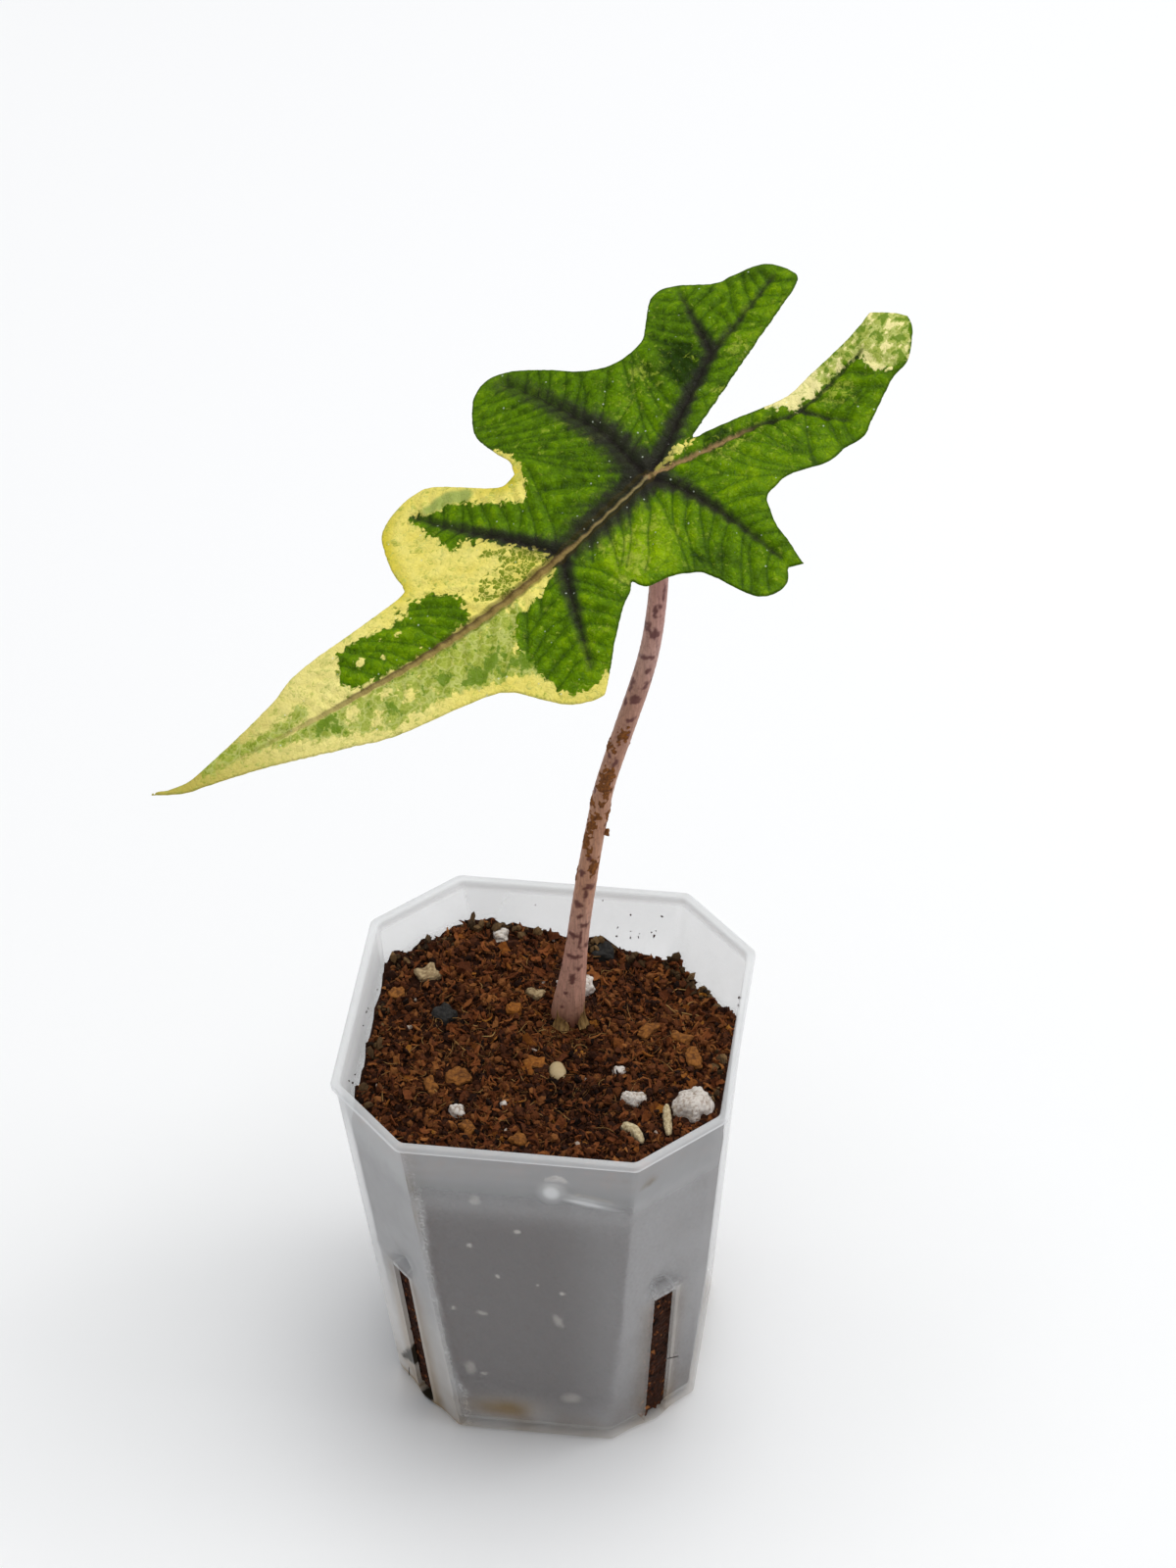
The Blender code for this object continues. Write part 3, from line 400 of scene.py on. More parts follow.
# Spots that add to a soft mask: along, across, reach, strength
fleckSpots = (
    (0.8, -12.8, 1.6, 0.8), (1.0, -8.2, 1.4, 0.6), (-14.3, -16.2, 2.6, 0.9), (-10.6, 6.0, 2.2, 0.9),
    (-14.6, 6.2, 2.4, 0.8), (12.9, 11.3, 2.6, 1.3), (9.6, 1.8, 1.2, 0.7), (6.8, 7.5, 3.2, 0.7),
    (11.6, 7.3, 2.6, 0.8), (-38.9, -5.4, 2.6, 1.0), (-33.3, -4.2, 2.6, 1.1), (-28.3, -3.5, 2.2, 0.9),
    (-20.2, -3.0, 2.0, 0.8), (-28.0, -7.5, 2.6, 0.8), (14.4, 5.1, 1.8, 0.7), (-9.0, -14.0, 5.0, 0.45),
    (-31.0, 12.0, 2.6, 0.9), (-34.5, 12.5, 2.6, 0.7), (-20.0, 9.5, 4.0, 0.5), (17.0, 12.0, 2.0, 1.0),
    (5.0, 14.0, 4.0, 0.4), (26.0, 15.0, 3.0, 0.4), (2.0, -19.0, 4.0, 0.35), (-46.0, 16.0, 3.0, 0.9),
)
# painted shade: the cream margin is golden, and drawn a darker gold where it rolls down out of the light
goldAndShadeSpots = (  # where the cream's margin is golden
    (36, -27, 8, 0.75), (15.5, -18, 3.5, 0.75), (41, -17, 3, 0.5), (88, -20, 10, 0.6), (26, -31, 4, -0.1),
)
patchHoles = (
    (44.4, -12.8, 1.1, 1.3), (47.4, -13.0, 0.9, 1.2), (47.5, -10.4, 0.7, 1.2), (55.3, -11.4, 1.0, 1.4),
    (46.8, -5.5, 0.5, 1.0), (41.0, -12.5, 0.6, 1.0), (52.0, -9.0, 0.6, 1.1), (50.0, -12.0, 0.5, 1.0),
)
mottleSpots = (
    (44.3, 6.3, 2.4, 0.8), (40.0, 5.5, 2.0, 0.6), (38.0, 9.2, 2.0, 0.6), (66.5, -8.2, 2.4, 0.7),
    (62.3, -5.7, 1.3, -0.9), (56.2, -3.6, 1.2, -0.7), (61.1, -1.2, 1.3, -0.8), (53.9, -0.1, 1.4, -0.8),
    (36.8, 7.2, 1.2, -0.9), (48.0, 1.5, 1.6, 0.5), (31.5, 0.9, 1.8, -0.5), (57.5, -0.5, 1.6, 0.4),
)
# painted light and shade: spots that move the green tissue along its ramp from shaded to sunlit
toneSpots = (  # lighter or darker green tissue
    (-20, -12, 5, -0.52), (-13, 3, 3, -0.3), (5, 20, 4, -0.22), (-38, -11, 4, 0.12), (-30, -6, 5, 0.10),
    (8, 10, 7, 0.30), (14, 9, 4, 0.18), (-12, 13, 5, 0.18), (28, 18, 5, 0.14), (-9, -14, 4, 0.05),
    (7, -10, 5, -0.14), (2, -25, 7, -0.06), (49, -9, 7, 0.14), (-7, -20, 4, -0.14), (-42, -15, 4, -0.12),
    (-24, -20, 5, -0.12),
)


def leafAxes():
    # the blade's directions: toward the tip, to the right, and up
    heading, slope, roll = (math.radians(leaf[key]) for key in ("heading", "slope", "roll"))
    level = np.array([math.cos(heading), math.sin(heading), 0.0])
    upright = np.array([0.0, 0.0, 1.0])
    along = level * math.cos(slope) - upright * math.sin(slope)
    across = np.cross(upright, level)
    up = np.cross(along, across)
    return along, across * math.cos(roll) + up * math.sin(roll), up * math.cos(roll) - across * math.sin(roll)


def humps(x, y, spots):
    # the sum of bell-shaped rises, each with its place, height and spread
    total = 0.0
    for spotX, spotY, height, spread in spots:
        total = total + height * np.exp(-((x - spotX) ** 2 + (y - spotY) ** 2) / (2 * spread**2))
    return total


def leafRise(along, across):
    # an arch lengthwise, a droop to the sides, and a wave for each lobe and bay
    return humps(along, across, leafWaves) - leaf["droopAlong"] * along**2 - leaf["droopAcross"] * across**2


def sideVeins(mains, margin):
    # curves that leave each main vein at about 60 degrees and bend toward its end, cut off at the
    # margin and where another main vein is nearer
    draw = np.random.default_rng(leaf["seed"])
    run = np.linspace(0, leaf["sideVeinLength"], 26)[:, None]
    curves = []
    for name, main in mains.items():
        lengths = np.concatenate([[0], np.cumsum(np.linalg.norm(np.diff(main, axis=0), axis=1))])
        for side in (-1, 1):
            stations = np.arange(1.5, lengths[-1] - 0.5, leaf["sideVeinStep"])
            for station in stations + draw.uniform(-0.7, 0.7, len(stations)):
                start, ahead = (np.array([np.interp(place, lengths, axis) for axis in main.T])
                                for place in (station, station + 1))
                tangent = (ahead - start) / max(np.linalg.norm(ahead - start), 1e-6)
                normal = np.array([-tangent[1], tangent[0]]) * side
                lean = math.radians(draw.uniform(56, 74))
                sway = draw.uniform(-0.45, 0.45)
                bend = tangent * run**2 * draw.uniform(0.02, 0.035)
                sway = tangent * np.sin(run * draw.uniform(0.5, 0.9)) * sway
                curve = start + (tangent * math.cos(lean) + normal * math.sin(lean)) * run + bend + sway
                keep = insideLoop(curve, margin)
                own = nearestOnPath(curve, main)[0]
                for other in mains:
                    if other != name:
                        keep &= nearestOnPath(curve, mains[other])[0] > own * 0.9
                keep[:3] = True
                stop = len(curve) if keep.all() else int(np.argmin(keep))
                if stop > 4:
                    curves.append(curve[:stop])
    return curves


def leafSheet():
    # a grid of rows that run with the midrib; cells whose middle is off the blade are dropped, and the
    # points left on the border are moved to the nearest point of the margin
    margin = np.vstack([smoothPath(part, leaf["marginStep"])[:-1] if len(part) > 2
                        else np.array(part[:1], float) for part in leafMargin])
    run = np.roll(margin, -1, axis=0) - np.roll(margin, 1, axis=0)
    inward = np.stack([run[:, 1], -run[:, 0]], axis=1) / np.linalg.norm(run, axis=1, keepdims=True)
    inward *= np.where(insideLoop(margin + inward * 0.3, margin), 1, -1)[:, None]
    # the inner edge of the left back lobe is more nicked than the rest
    a, c = margin.T
    torn = 1 + 1.2 * softStep(-44, -26, a) * softStep(2, 0, c) * softStep(-10, -7, c)
    wander = 0.5 + 0.32 * waveNoise(margin, 2.0, 41) + 0.28 * waveNoise(margin, 0.9, 42)
    margin = margin + inward * (leaf["nick"] * torn * wander)[:, None]
    mains = {name: smoothPath(vein[0], leaf["veinStep"]) for name, vein in leafVeins.items()}
    cell, span = leaf["cell"], leaf["halfSpan"]
    alongs = np.arange(margin[:, 0].min() - cell, margin[:, 0].max() + 2 * cell, cell)
    offsets = np.arange(-span, span, cell)
    offsets = offsets - offsets[np.argmin(np.abs(offsets))]
    a, c = np.meshgrid(alongs, offsets, indexing="ij")
    c = c + np.interp(alongs, *mains["midrib"].T, left=0.0)[:, None]
    places = np.stack([a.ravel(), c.ravel()], axis=1)
    faces = gridFaces(len(alongs), len(offsets))
    kept = faces[insideLoop(places[faces].mean(axis=1), margin)]
    used, faces = np.unique(kept, return_inverse=True)
    places, faces = places[used], faces.reshape(kept.shape)
    sides = np.concatenate([faces[:, [i, (i + 1) % 4]] for i in range(4)])
    key = np.sort(sides, axis=1) @ np.array([len(places), 1])
    _, index, uses = np.unique(key, return_index=True, return_counts=True)
    rim = sides[index[uses == 1]]
    border = np.unique(rim)
    places[border] = nearestOnPath(places[border], np.vstack([margin, margin[:1]]))[1]
    return places, faces, rim, margin, mains


def spotSum(places, spots):
    # the sum of bell-shaped spots, each (along, across, reach, strength)
    total = np.zeros(len(places))
    for along, across, reach, strength in spots:
        squared = (places[:, 0] - along) ** 2 + (places[:, 1] - across) ** 2
        total += strength * np.exp(-squared / reach**2)
    return total


def nearLine(places, line, half, soft):
    # 1 within half of a drawn line, fading over soft
    return 1 - softStep(half - soft, half + soft, nearestOnPath(places, np.array(line, float))[0])


def leafFields(places, margin, mains):
    # what the colours need at every point: distances and soft masks
    fields = {}
    a, c = places.T
    noise = partial(waveNoise, places)
    below = c - np.interp(a, *mains["midrib"].T)  # how far right of the midrib
    line = np.full(len(places), 9.0)  # distance past the edge of the nearest main vein's line
    halo = np.zeros(len(places))
    ragged = 1 + 0.20 * noise(3.2, 8) + 0.16 * noise(1.3, 9)
    for name, (_, half, lastHalf, reach, lastReach, stop, strength) in leafVeins.items():
        gap, _, share = nearestOnPath(places, mains[name])
        spread = (reach + (lastReach - reach) * softStep(0, 1, share ** 0.8)) * ragged
        glow = strength * (1 - softStep(0.35, 1.25, gap / spread)) * (1 - softStep(stop - 0.13, stop, share))
        glow *= 1 - 0.5 * softStep(0.35, 1, share) * (stop > 1)
        halo = 1 - (1 - halo) * (1 - glow)
        if name == "midrib":
            fields |= {"midribGap": gap, "midribShare": share, "midribSide": below}
        elif name == "right back":
            # this one is tan near the junction and dark beyond
            tan = 1 - softStep(-0.02, 0.28, gap - 0.26 * (1 - 0.5 * share))
            fields["tan"] = tan * (1 - softStep(0.34, 0.5, share))
            line = np.minimum(line, np.where(share > 0.38, gap - 0.16, 9.0))
        else:
            line = np.minimum(line, gap - (half + (lastHalf - half) * share) + 0.2 * share)
    net = np.min([nearestOnPath(places, curve)[0] for curve in sideVeins(mains, margin)], axis=0)
    edge = nearestOnPath(places, np.vstack([margin, margin[:1]]))[0]
    halo = np.clip(halo + 0.5 * halo * (1 - halo) * bell(net / 0.45), 0, 1)

    # cream and green tissue meet at drawn borders that wander by about half a millimetre
    wander = 0.35 * noise(2.6, 14) + 0.35 * noise(1.1, 15)
    patch = insideBy(places, greenPatch)
    front = np.minimum(insideBy(places, creamFront), -patch)
    sinus = 0.5 - nearestOnPath(places, np.array(sinusStrip))[0]
    cream = np.max([front, insideBy(places, creamStrip), sinus], axis=0) + wander
    cream = np.maximum(cream, spotSum(places, patchHoles) * 1.5 - 1.0)

    # mottle: streaks that run with the side veins, from the midrib down to a drawn limit, and faint ones
    # at the tip, at the end of the right back lobe and beside its vein
    flow = np.stack([a * 0.8 - 0.3 * np.abs(below), below], axis=1)
    streak = 0.45 * waveNoise(flow, 2.8, 16) + 0.4 * noise(1.1, 17)
    limit = insideBy(places, mottleLimit)
    right = softStep(-0.3, 1.3, limit + 0.8 * streak) * softStep(0.4, 1.0, below) * (1 - softStep(76, 84, a))
    right *= 0.60 + 0.7 * streak + spotSum(places, mottleSpots)
    tip = nearLine(places, tipZone, 1.3, 0.9) * 0.62 * (0.7 + 0.5 * streak)
    end = 0.60 + 0.85 * noise(2.8, 18) + 0.65 * waveNoise(places * [0.5, 1.2], 1.1, 23)
    end *= softStep(-40, -43, a) * softStep(2, 7, c)
    strip = nearLine(places, mottledStrip, 1.3, 0.8) * (0.75 + 1.0 * noise(1.3, 19))
    fringe = 0.82 * softStep(-0.8, 0.8, insideBy(places, fringeZone) + 0.5 * wander)
    fringe += 0.30 * softStep(-1.6, -0.3, patch) * (front > -2)
    # the cream's golden margin, darkened as painted shade where it rolls down
    goldAndShade = np.clip(0.15 + spotSum(places, goldAndShadeSpots), 0, 0.95)
    return fields | {
        "line": line, "net": net, "halo": halo, "edge": edge, "cream": cream,
        "mottle": np.clip(np.max([right, tip, end, strip], axis=0), 0, 1.4),
        "fringe": np.clip(fringe, 0, 1),
        "grey": nearLine(places, greyZone, 1.5, 0.5) * softStep(-0.4, 0.4, cream),
        "rimGoldAndShade": (1 - softStep(0.3, 3.0, edge)) * goldAndShade,
        "pallor": np.maximum(softStep(-10, -24, a), 0.45 * softStep(44, 60, a)),
        "fleck": np.clip(spotSum(places, fleckSpots), 0, 1.5),
        "tone": 0.385 + spotSum(places, toneSpots) + 0.10 * noise(5.0, 20) + 0.10 * noise(2.2, 24),
    }


def buildLeaf(materials):
    # the upper skin arches, sinks along the main veins and domes between the side veins; the lower skin lies
    # one thickness below with the main veins as ribs, and a rim joins the two
    places, faces, rim, margin, mains = leafSheet()
    fields = leafFields(places, margin, mains)
    a, c = places.T
    inner = softStep(0, 1.5, fields["edge"])
    mainGap = np.min([nearestOnPath(places, path)[0] for path in mains.values()], axis=0)
    taper = 1 - 0.6 * softStep(20, 60, np.hypot(a, c))
    groove = leaf["grooveDepth"] * taper * bell(mainGap / leaf["grooveWidth"])
    quilt = leaf["quiltRise"] * (1 - bell(fields["net"] / leaf["quiltWidth"]))
    quilt *= softStep(0, 2.5, fields["edge"]) * (1 - 0.6 * softStep(40, 70, a))
    rise = leafRise(a, c) - groove + quilt - leaf["quiltRise"] - 0.1
    rise += (0.10 * waveNoise(places, 1.7, 5) + 0.05 * waveNoise(places, 0.9, 6)) * inner
    along, across, up = leafAxes()
    top = np.array(leaf["junction"]) + a[:, None] * along + c[:, None] * across + rise[:, None] * up
    thick = leaf["marginThickness"] + (leaf["thickness"] - leaf["marginThickness"]) * inner
    thick += leaf["ribRise"] * taper * bell(mainGap / leaf["ribWidth"]) * inner
    count = len(places)
    low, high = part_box("leaf_blade")
    points = np.clip(np.vstack([top, top - up * thick[:, None]]), np.array(low) / mm, np.array(high) / mm)
    rimFaces = np.stack([rim[:, 1], rim[:, 0], rim[:, 0] + count, rim[:, 1] + count], axis=1)
    every = [faces, faces[:, ::-1] + count, rimFaces]
    newPiece("leaf_blade_surface", points, every, materials, ["leaf_blade"],
             {name: np.tile(values, 2) for name, values in fields.items()},
             materialIndex=np.repeat([0, 1, 0], [len(part) for part in every]))
    print("leaf blade:", len(faces) * 4, "triangles,", len(mains), "main veins")


def leafMaterial(under=False):
    # living alocasia blade: waxy cuticle over quilted tissue, green with cream sectors and black-green veins
    name = "alocasia leaf underside" if under else "alocasia leaf variegated"
    material, add, inMm, read = newMaterial(name, (
        "line", "halo", "net", "cream", "mottle", "fringe", "grey", "fleck", "rimGoldAndShade", "tone", "tan",
        "pallor", "edge", "midribGap", "midribShare", "midribSide"))
    wobble = add("TexNoise", Vector=inMm, Scale=0.9, Detail=2.0)
    shift = add("VectorMath ADD", wobble.outputs["Color"], (-0.5, -0.5, -0.5))
    moved = add("VectorMath MULTIPLY_ADD", shift, (1.6, 1.6, 1.6), inMm)
    # cells a little under a millimetre across, the size of the finest vein net
    cells = add("TexVoronoi", Vector=moved, Scale=1.15)
    cell = add("SeparateColor", cells.outputs["Color"]).outputs
    seams, fields = (add("TexVoronoi", Vector=moved, Scale=scale, feature="DISTANCE_TO_EDGE")
                     for scale in (1.15, 0.45))
    broad, fine = (add("TexNoise", Vector=inMm, Scale=scale, Detail=3.0, Roughness=0.6)
                   for scale in (0.28, 2.2))

    # green tissue, from shaded to sunlit: each cell differs a little, the domes between the side veins catch
    # more light than the valleys along them, and pale flecks crowd in places
    tone = add("Math MULTIPLY_ADD", cell[1], 0.20, read["tone"])
    tone = add("Math ADD", tone, add("MapRange", read["net"], 0.0, 1.3, -0.17, 0.0), use_clamp=True)
    green = add("ValToRGB", tone, stops=((0, "#213403"), (0.45, "#5a7f00"), (1, "#92b200")))
    grain = add("MapRange", fine, 0.3, 0.75, 0.84, 1.18)
    fleck = add("TexNoise", Vector=moved, Scale=0.95, Detail=2.5, Roughness=0.65)
    fleck = add("MapRange", add("Math MULTIPLY_ADD", read["fleck"], 0.20, fleck), 0.62, 0.78, 0.0, 0.75)
    # the net of side veins, a dark margin, and the halo of the main veins, feathered by the finest noise
    lines = add("MapRange", read["net"], 0.04, 0.34, 0.66, 0.0)
    for seam, reach, strength in ((fields, 0.10, 0.34), (seams, 0.11, 0.16)):
        lines = add("Math MAXIMUM", lines, add("MapRange", seam, 0.0, reach, strength, 0.0))
    rimLine = add("MapRange", read["edge"], 0.12, 0.42, 0.55, 0.0)
    middle = add("Math ABSOLUTE", add("Math SUBTRACT", read["halo"], 0.5))
    middle = add("MapRange", middle, 0.5, 0.2, 0.0, 1.0)
    feather = add("MapRange", fine, 0.25, 0.75, -0.22, 0.22)
    halo = add("Math MULTIPLY_ADD", feather, middle, read["halo"], use_clamp=True)
    colour = add("VectorMath SCALE", green, grain)
    for mask, tone in ((fleck, "#a3b23c"), (lines, "#254103"), (rimLine, "#2a4408"),
                       (halo, add("Mix", broad, "#232720", "#2e2a20"))):
        colour = add("Mix", mask, colour, tone)

    # cream tissue: golden at the margin and darker there as painted shade where it rolls down, whiter in the
    # right back lobe, olive at the tip, with pale green cells where it is mottled and dark green ones near
    # the midrib
    swing = add("Math ADD", add("Math MULTIPLY_ADD", cell[0], 0.34, -0.17),
                add("Math MULTIPLY_ADD", fine, 0.8, -0.4))
    level = add("Math ADD", read["mottle"], swing)
    pale = add("Mix", cell[1], "#95a636", "#7d931f")
    for seam, low, high, strength, tone in ((seams, 0.03, 0.16, 0.5, "#b6c05c"),
                                            (fields, 0.02, 0.12, 0.6, "#c6cc78")):
        pale = add("Mix", add("MapRange", seam, low, high, strength, 0.0), pale, tone)
    specks = add("MapRange", add("Math SUBTRACT", read["fringe"], cell[2]), -0.04, 0.06, 0.0, 0.92)
    specks = add("Math MULTIPLY", specks, add("MapRange", seams, 0.02, 0.09, 0.2, 1.0))
    cream = add("Mix", broad, "#f4e98a", "#e9d75a")
    for mask, tone in ((read["rimGoldAndShade"], "#d0c02c"), (add("Math MULTIPLY", read["pallor"], 0.75), "#f6ecae"),
                       (add("MapRange", read["midribShare"], 0.72, 0.96, 0.0, 0.85), "#b5a84a"),
                       (add("Math MULTIPLY", lines, 0.22), "#a89c2c"), (read["grey"], "#a3b05a"),
                       (add("MapRange", level, 0.02, 0.34, 0.0, 0.9), pale),
                       (add("MapRange", level, 0.80, 1.05, 0.0, 0.85), "#628218"), (specks, "#6c7f10")):
        cream = add("Mix", mask, cream, tone)

    # the two tissues meet along cell edges, so the border is ragged by about a cell; the halo darkens the
    # cream that it reaches, and specks a quarter of a millimetre across are painted highlights, glints of
    # light on grains of dust
    border = add("Math ADD", add("Math MULTIPLY_ADD", cell[2], 0.9, -0.45), read["cream"])
    creamMask = add("MapRange", border, -0.18, 0.18)
    stain = add("Math MULTIPLY", add("Math MULTIPLY", read["halo"], creamMask), 0.55, use_clamp=True)
    dust = add("TexVoronoi", Vector=inMm, Scale=0.75)
    glintDustPick = add("MapRange", add("SeparateColor", dust.outputs["Color"]), 0.80, 0.84, 0.0, 0.55)
    glintDustMask = add("Math MULTIPLY", glintDustPick, add("MapRange", dust, 0.08, 0.15, 1.0, 0.0))

    # main veins last: black-green laterals, and a midrib that turns from a cream thread to tan, with a dark
    # line on each side and its left flank in shade
    share, veinMask = read["midribShare"], add("MapRange", read["line"], -0.1, 0.35, 0.7, 0.0)
    beside = add("Math ABSOLUTE", add("Math SUBTRACT", read["midribGap"], 0.95))
    beside = add("Math MULTIPLY", add("MapRange", beside, 0.12, 0.5, 0.6, 0.0),
                 add("MapRange", share, 0.35, 0.66, 1.0, 0.0), use_clamp=True)
    width = add("Math MULTIPLY", add("MapRange", share, 0.14, 0.25, 0.20, 0.68),
                add("MapRange", share, 0.45, 0.95, 1.0, 0.3))
    band = add("Math SUBTRACT", read["midribGap"], width)
    band = add("Math MULTIPLY", add("MapRange", band, -0.1, 0.22, 0.95, 0.0),
               add("MapRange", share, 0.62, 0.88, 1.0, 0.12))
    flank = add("Math MULTIPLY", add("MapRange", read["midribSide"], -0.05, -0.5, 0.0, 0.75),
                add("MapRange", share, 0.55, 0.85, 1.0, 0.0))
    bandTone = add("ValToRGB", share,
                   stops=((0, "#8f8258"), (0.26, "#8c7340"), (0.6, "#94804a"), (1, "#97834e")))
    bandTone = add("VectorMath SCALE", add("Mix", flank, bandTone, "#463020"), grain)
    for mask, tone in ((creamMask, cream), (stain, "#4b4a1a"), (glintDustMask, "#d9e2d0"), (veinMask, "#1d1716"),
                       (read["tan"], "#987a52"), (beside, "#3a3212"), (band, bandTone)):
        colour = add("Mix", mask, colour, tone)
    if under:
        # the underside is paler and duller, with veins that show purple-brown
        colour = add("Mix", veinMask, add("Mix", 0.45, colour, "#8a9a5a"), "#5a3b3a")
    relief = add("Math MULTIPLY_ADD", fine, 0.9, add("MapRange", seams, 0.0, 0.28))
    rough = add("MapRange", fine, 0.3, 0.7, 0.26, 0.46)
    return finish(material, colour, rough, relief, 0.45, 0.14, ior=1.42, gloss=0.2 if under else 0.06)


# Petiole

petiole = dict(
    line=(  # x, y, z of the centre line and the radius there
        (1.3, 13.1, 60.6, 3.1), (1.7, 13.3, 68.2, 3.0), (2.7, 13.5, 76.1, 2.45), (3.6, 13.8, 83.9, 2.0),
        (4.5, 14.1, 91.6, 1.88), (5.5, 14.6, 99.0, 1.85), (6.6, 15.0, 106.6, 1.76), (7.8, 15.5, 114.0, 1.72),
        (9.1, 16.0, 121.2, 1.7), (11.0, 16.6, 128.3, 1.7), (13.0, 17.3, 135.3, 1.74),
        (15.0, 18.0, 142.2, 1.75), (16.7, 18.7, 149.1, 1.7), (17.8, 19.3, 155.9, 1.64),
        (18.6, 20.0, 165.3, 1.58), (18.6, 20.1, 176.0, 1.55),
    ),
    neck=((17.75, 19.1, 183.2, 1.55), (17.3, 18.3, 187.6, 1.6)),  # turns square to the blade
    flake=(8.95, 15.0, 111.3),  # where a scrap of dead skin stands off the side
    step=0.3,
    sides=60,
    ribs=17,  # fine lengthwise ridges
    ribHeight=0.03,
    corkRise=0.22,
    seenAngle=-81,  # compass angle that the photograph looks from
    seed=17,
)
# Marks on the side that the photograph shows: height, compass angle, half width and half height.
maroonMarks = (
    (163.2, -44, 0.20, 1.27), (159.7, -89, 0.33, 0.85), (160.4, -63, 0.20, 0.42), (156.1, -122, 0.41, 0.64),
    (154.9, -77, 0.66, 0.64), (150.1, -91, 1.16, 0.38), (143.9, -142, 0.33, 0.86), (144.1, -58, 0.30, 0.64),
    (141.3, -92, 0.67, 0.64), (140.1, -145, 0.33, 0.54), (133.7, -62, 0.34, 0.54), (129.0, -123, 0.22, 0.43),
    (127.6, -78, 0.27, 0.69), (102.8, -122, 0.52, 0.55), (99.8, -66, 0.86, 0.44), (98.1, -79, 0.26, 0.88),
    (95.7, -112, 0.60, 0.55), (91.0, -57, 0.61, 0.36), (88.5, -116, 0.78, 0.45), (87.9, -73, 0.21, 1.56),
    (83.7, -94, 1.05, 0.34), (78.8, -88, 0.35, 0.90), (75.5, -104, 0.35, 0.30), (72.0, -112, 0.30, 0.30),
    (147.2, -70, 0.28, 0.45), (137.0, -72, 0.55, 0.40), (81.0, -62, 0.40, 0.35), (93.2, -92, 0.30, 0.40),
    (167.5, -85, 0.45, 0.60), (106.5, -92, 0.35, 0.40),
)
corkMarks = (
    (133.6, -88, 0.67, 1.29), (124.4, -98, 0.85, 1.52), (124.2, -63, 0.34, 0.65), (122.3, -104, 0.85, 1.09),
    (121.2, -66, 0.51, 1.30), (115.6, -104, 1.02, 0.66), (113.4, -122, 0.77, 1.09), (110.1, -135, 0.68, 1.53),
    (104.1, -56, 0.77, 1.54), (118.5, -84, 0.40, 0.70), (107.8, -104, 0.45, 0.90), (130.2, -102, 0.35, 0.55),
)


def hiddenMarks(count, sizes, heights, seed):
    # seeded marks like the drawn ones, for the sides that the photograph doesn't show
    draw = np.random.default_rng(seed)
    turn = petiole["seenAngle"] + draw.uniform(72, 288, count)
    wide, high = draw.uniform(*sizes, (2, count))
    return tuple(zip(draw.uniform(*heights, count), turn, wide, high))


def markField(turn, height, radius, marks, noise):
    # 1 inside ovals on the skin, their borders moved in and out by the noise
    total = np.zeros(turn.shape)
    for level, compass, halfWide, halfHigh in marks:
        aside = (turn - math.radians(compass) + math.pi) % (2 * math.pi) - math.pi
        distance = np.hypot(aside * radius / halfWide, (height - level) / halfHigh) / 1.35
        total = np.maximum(total, 1 - softStep(0.65, 1.45, distance + 0.55 * noise))
    return total


def buildPetiole(material):
    # a round tapered tube; its radius has fine ridges that fade upward, and corky patches stand out
    line = smoothPath(petiole["line"] + petiole["neck"], petiole["step"])
    middle, radius, sides, seed = line[:, :3], line[:, 3:], petiole["sides"], petiole["seed"]
    plain, faces = tubeAlong(middle, radius, sides)
    ring = plain[:-2].reshape(len(line), sides, 3) - middle[:, None]
    turn = np.arctan2(ring[..., 1], ring[..., 0])
    height = plain[:-2, 2].reshape(turn.shape)
    skin = np.stack([np.cos(turn) * 1.8, np.sin(turn) * 1.8, height], axis=-1).reshape(-1, 3)
    ragged, crumb = (waveNoise(skin, size, key).reshape(turn.shape) for size, key in ((0.9, 12), (0.6, 13)))
    maroon = maroonMarks + hiddenMarks(34, (0.25, 0.9), (70, 168), seed)
    maroon += hiddenMarks(8, (0.3, 0.8), (168, 186), seed + 1)
    cork = corkMarks + hiddenMarks(12, (0.4, 1.3), (100, 136), seed + 2)
    fields = {"maroon": markField(turn, height, radius, maroon, ragged),
              "cork": markField(turn, height, radius, cork, ragged * 1.3)}
    ridge = petiole["ribHeight"] * np.sin(turn * petiole["ribs"] + height * 0.02)
    ridge *= 1 + 1.8 * (1 - softStep(66, 88, height))
    radii = radius + ridge + petiole["corkRise"] * fields["cork"] * (0.5 + 0.5 * crumb) + 0.03 * ragged
    points, faces = tubeAlong(middle, radii, sides)
    newPiece("petiole_skin", points, faces, material, ["petiole"],
             {name: np.append(values.ravel(), [0, 0]) for name, values in fields.items()})
    print("petiole:", len(faces[0]) * 2, "triangles,", len(maroon) + len(cork), "marks")


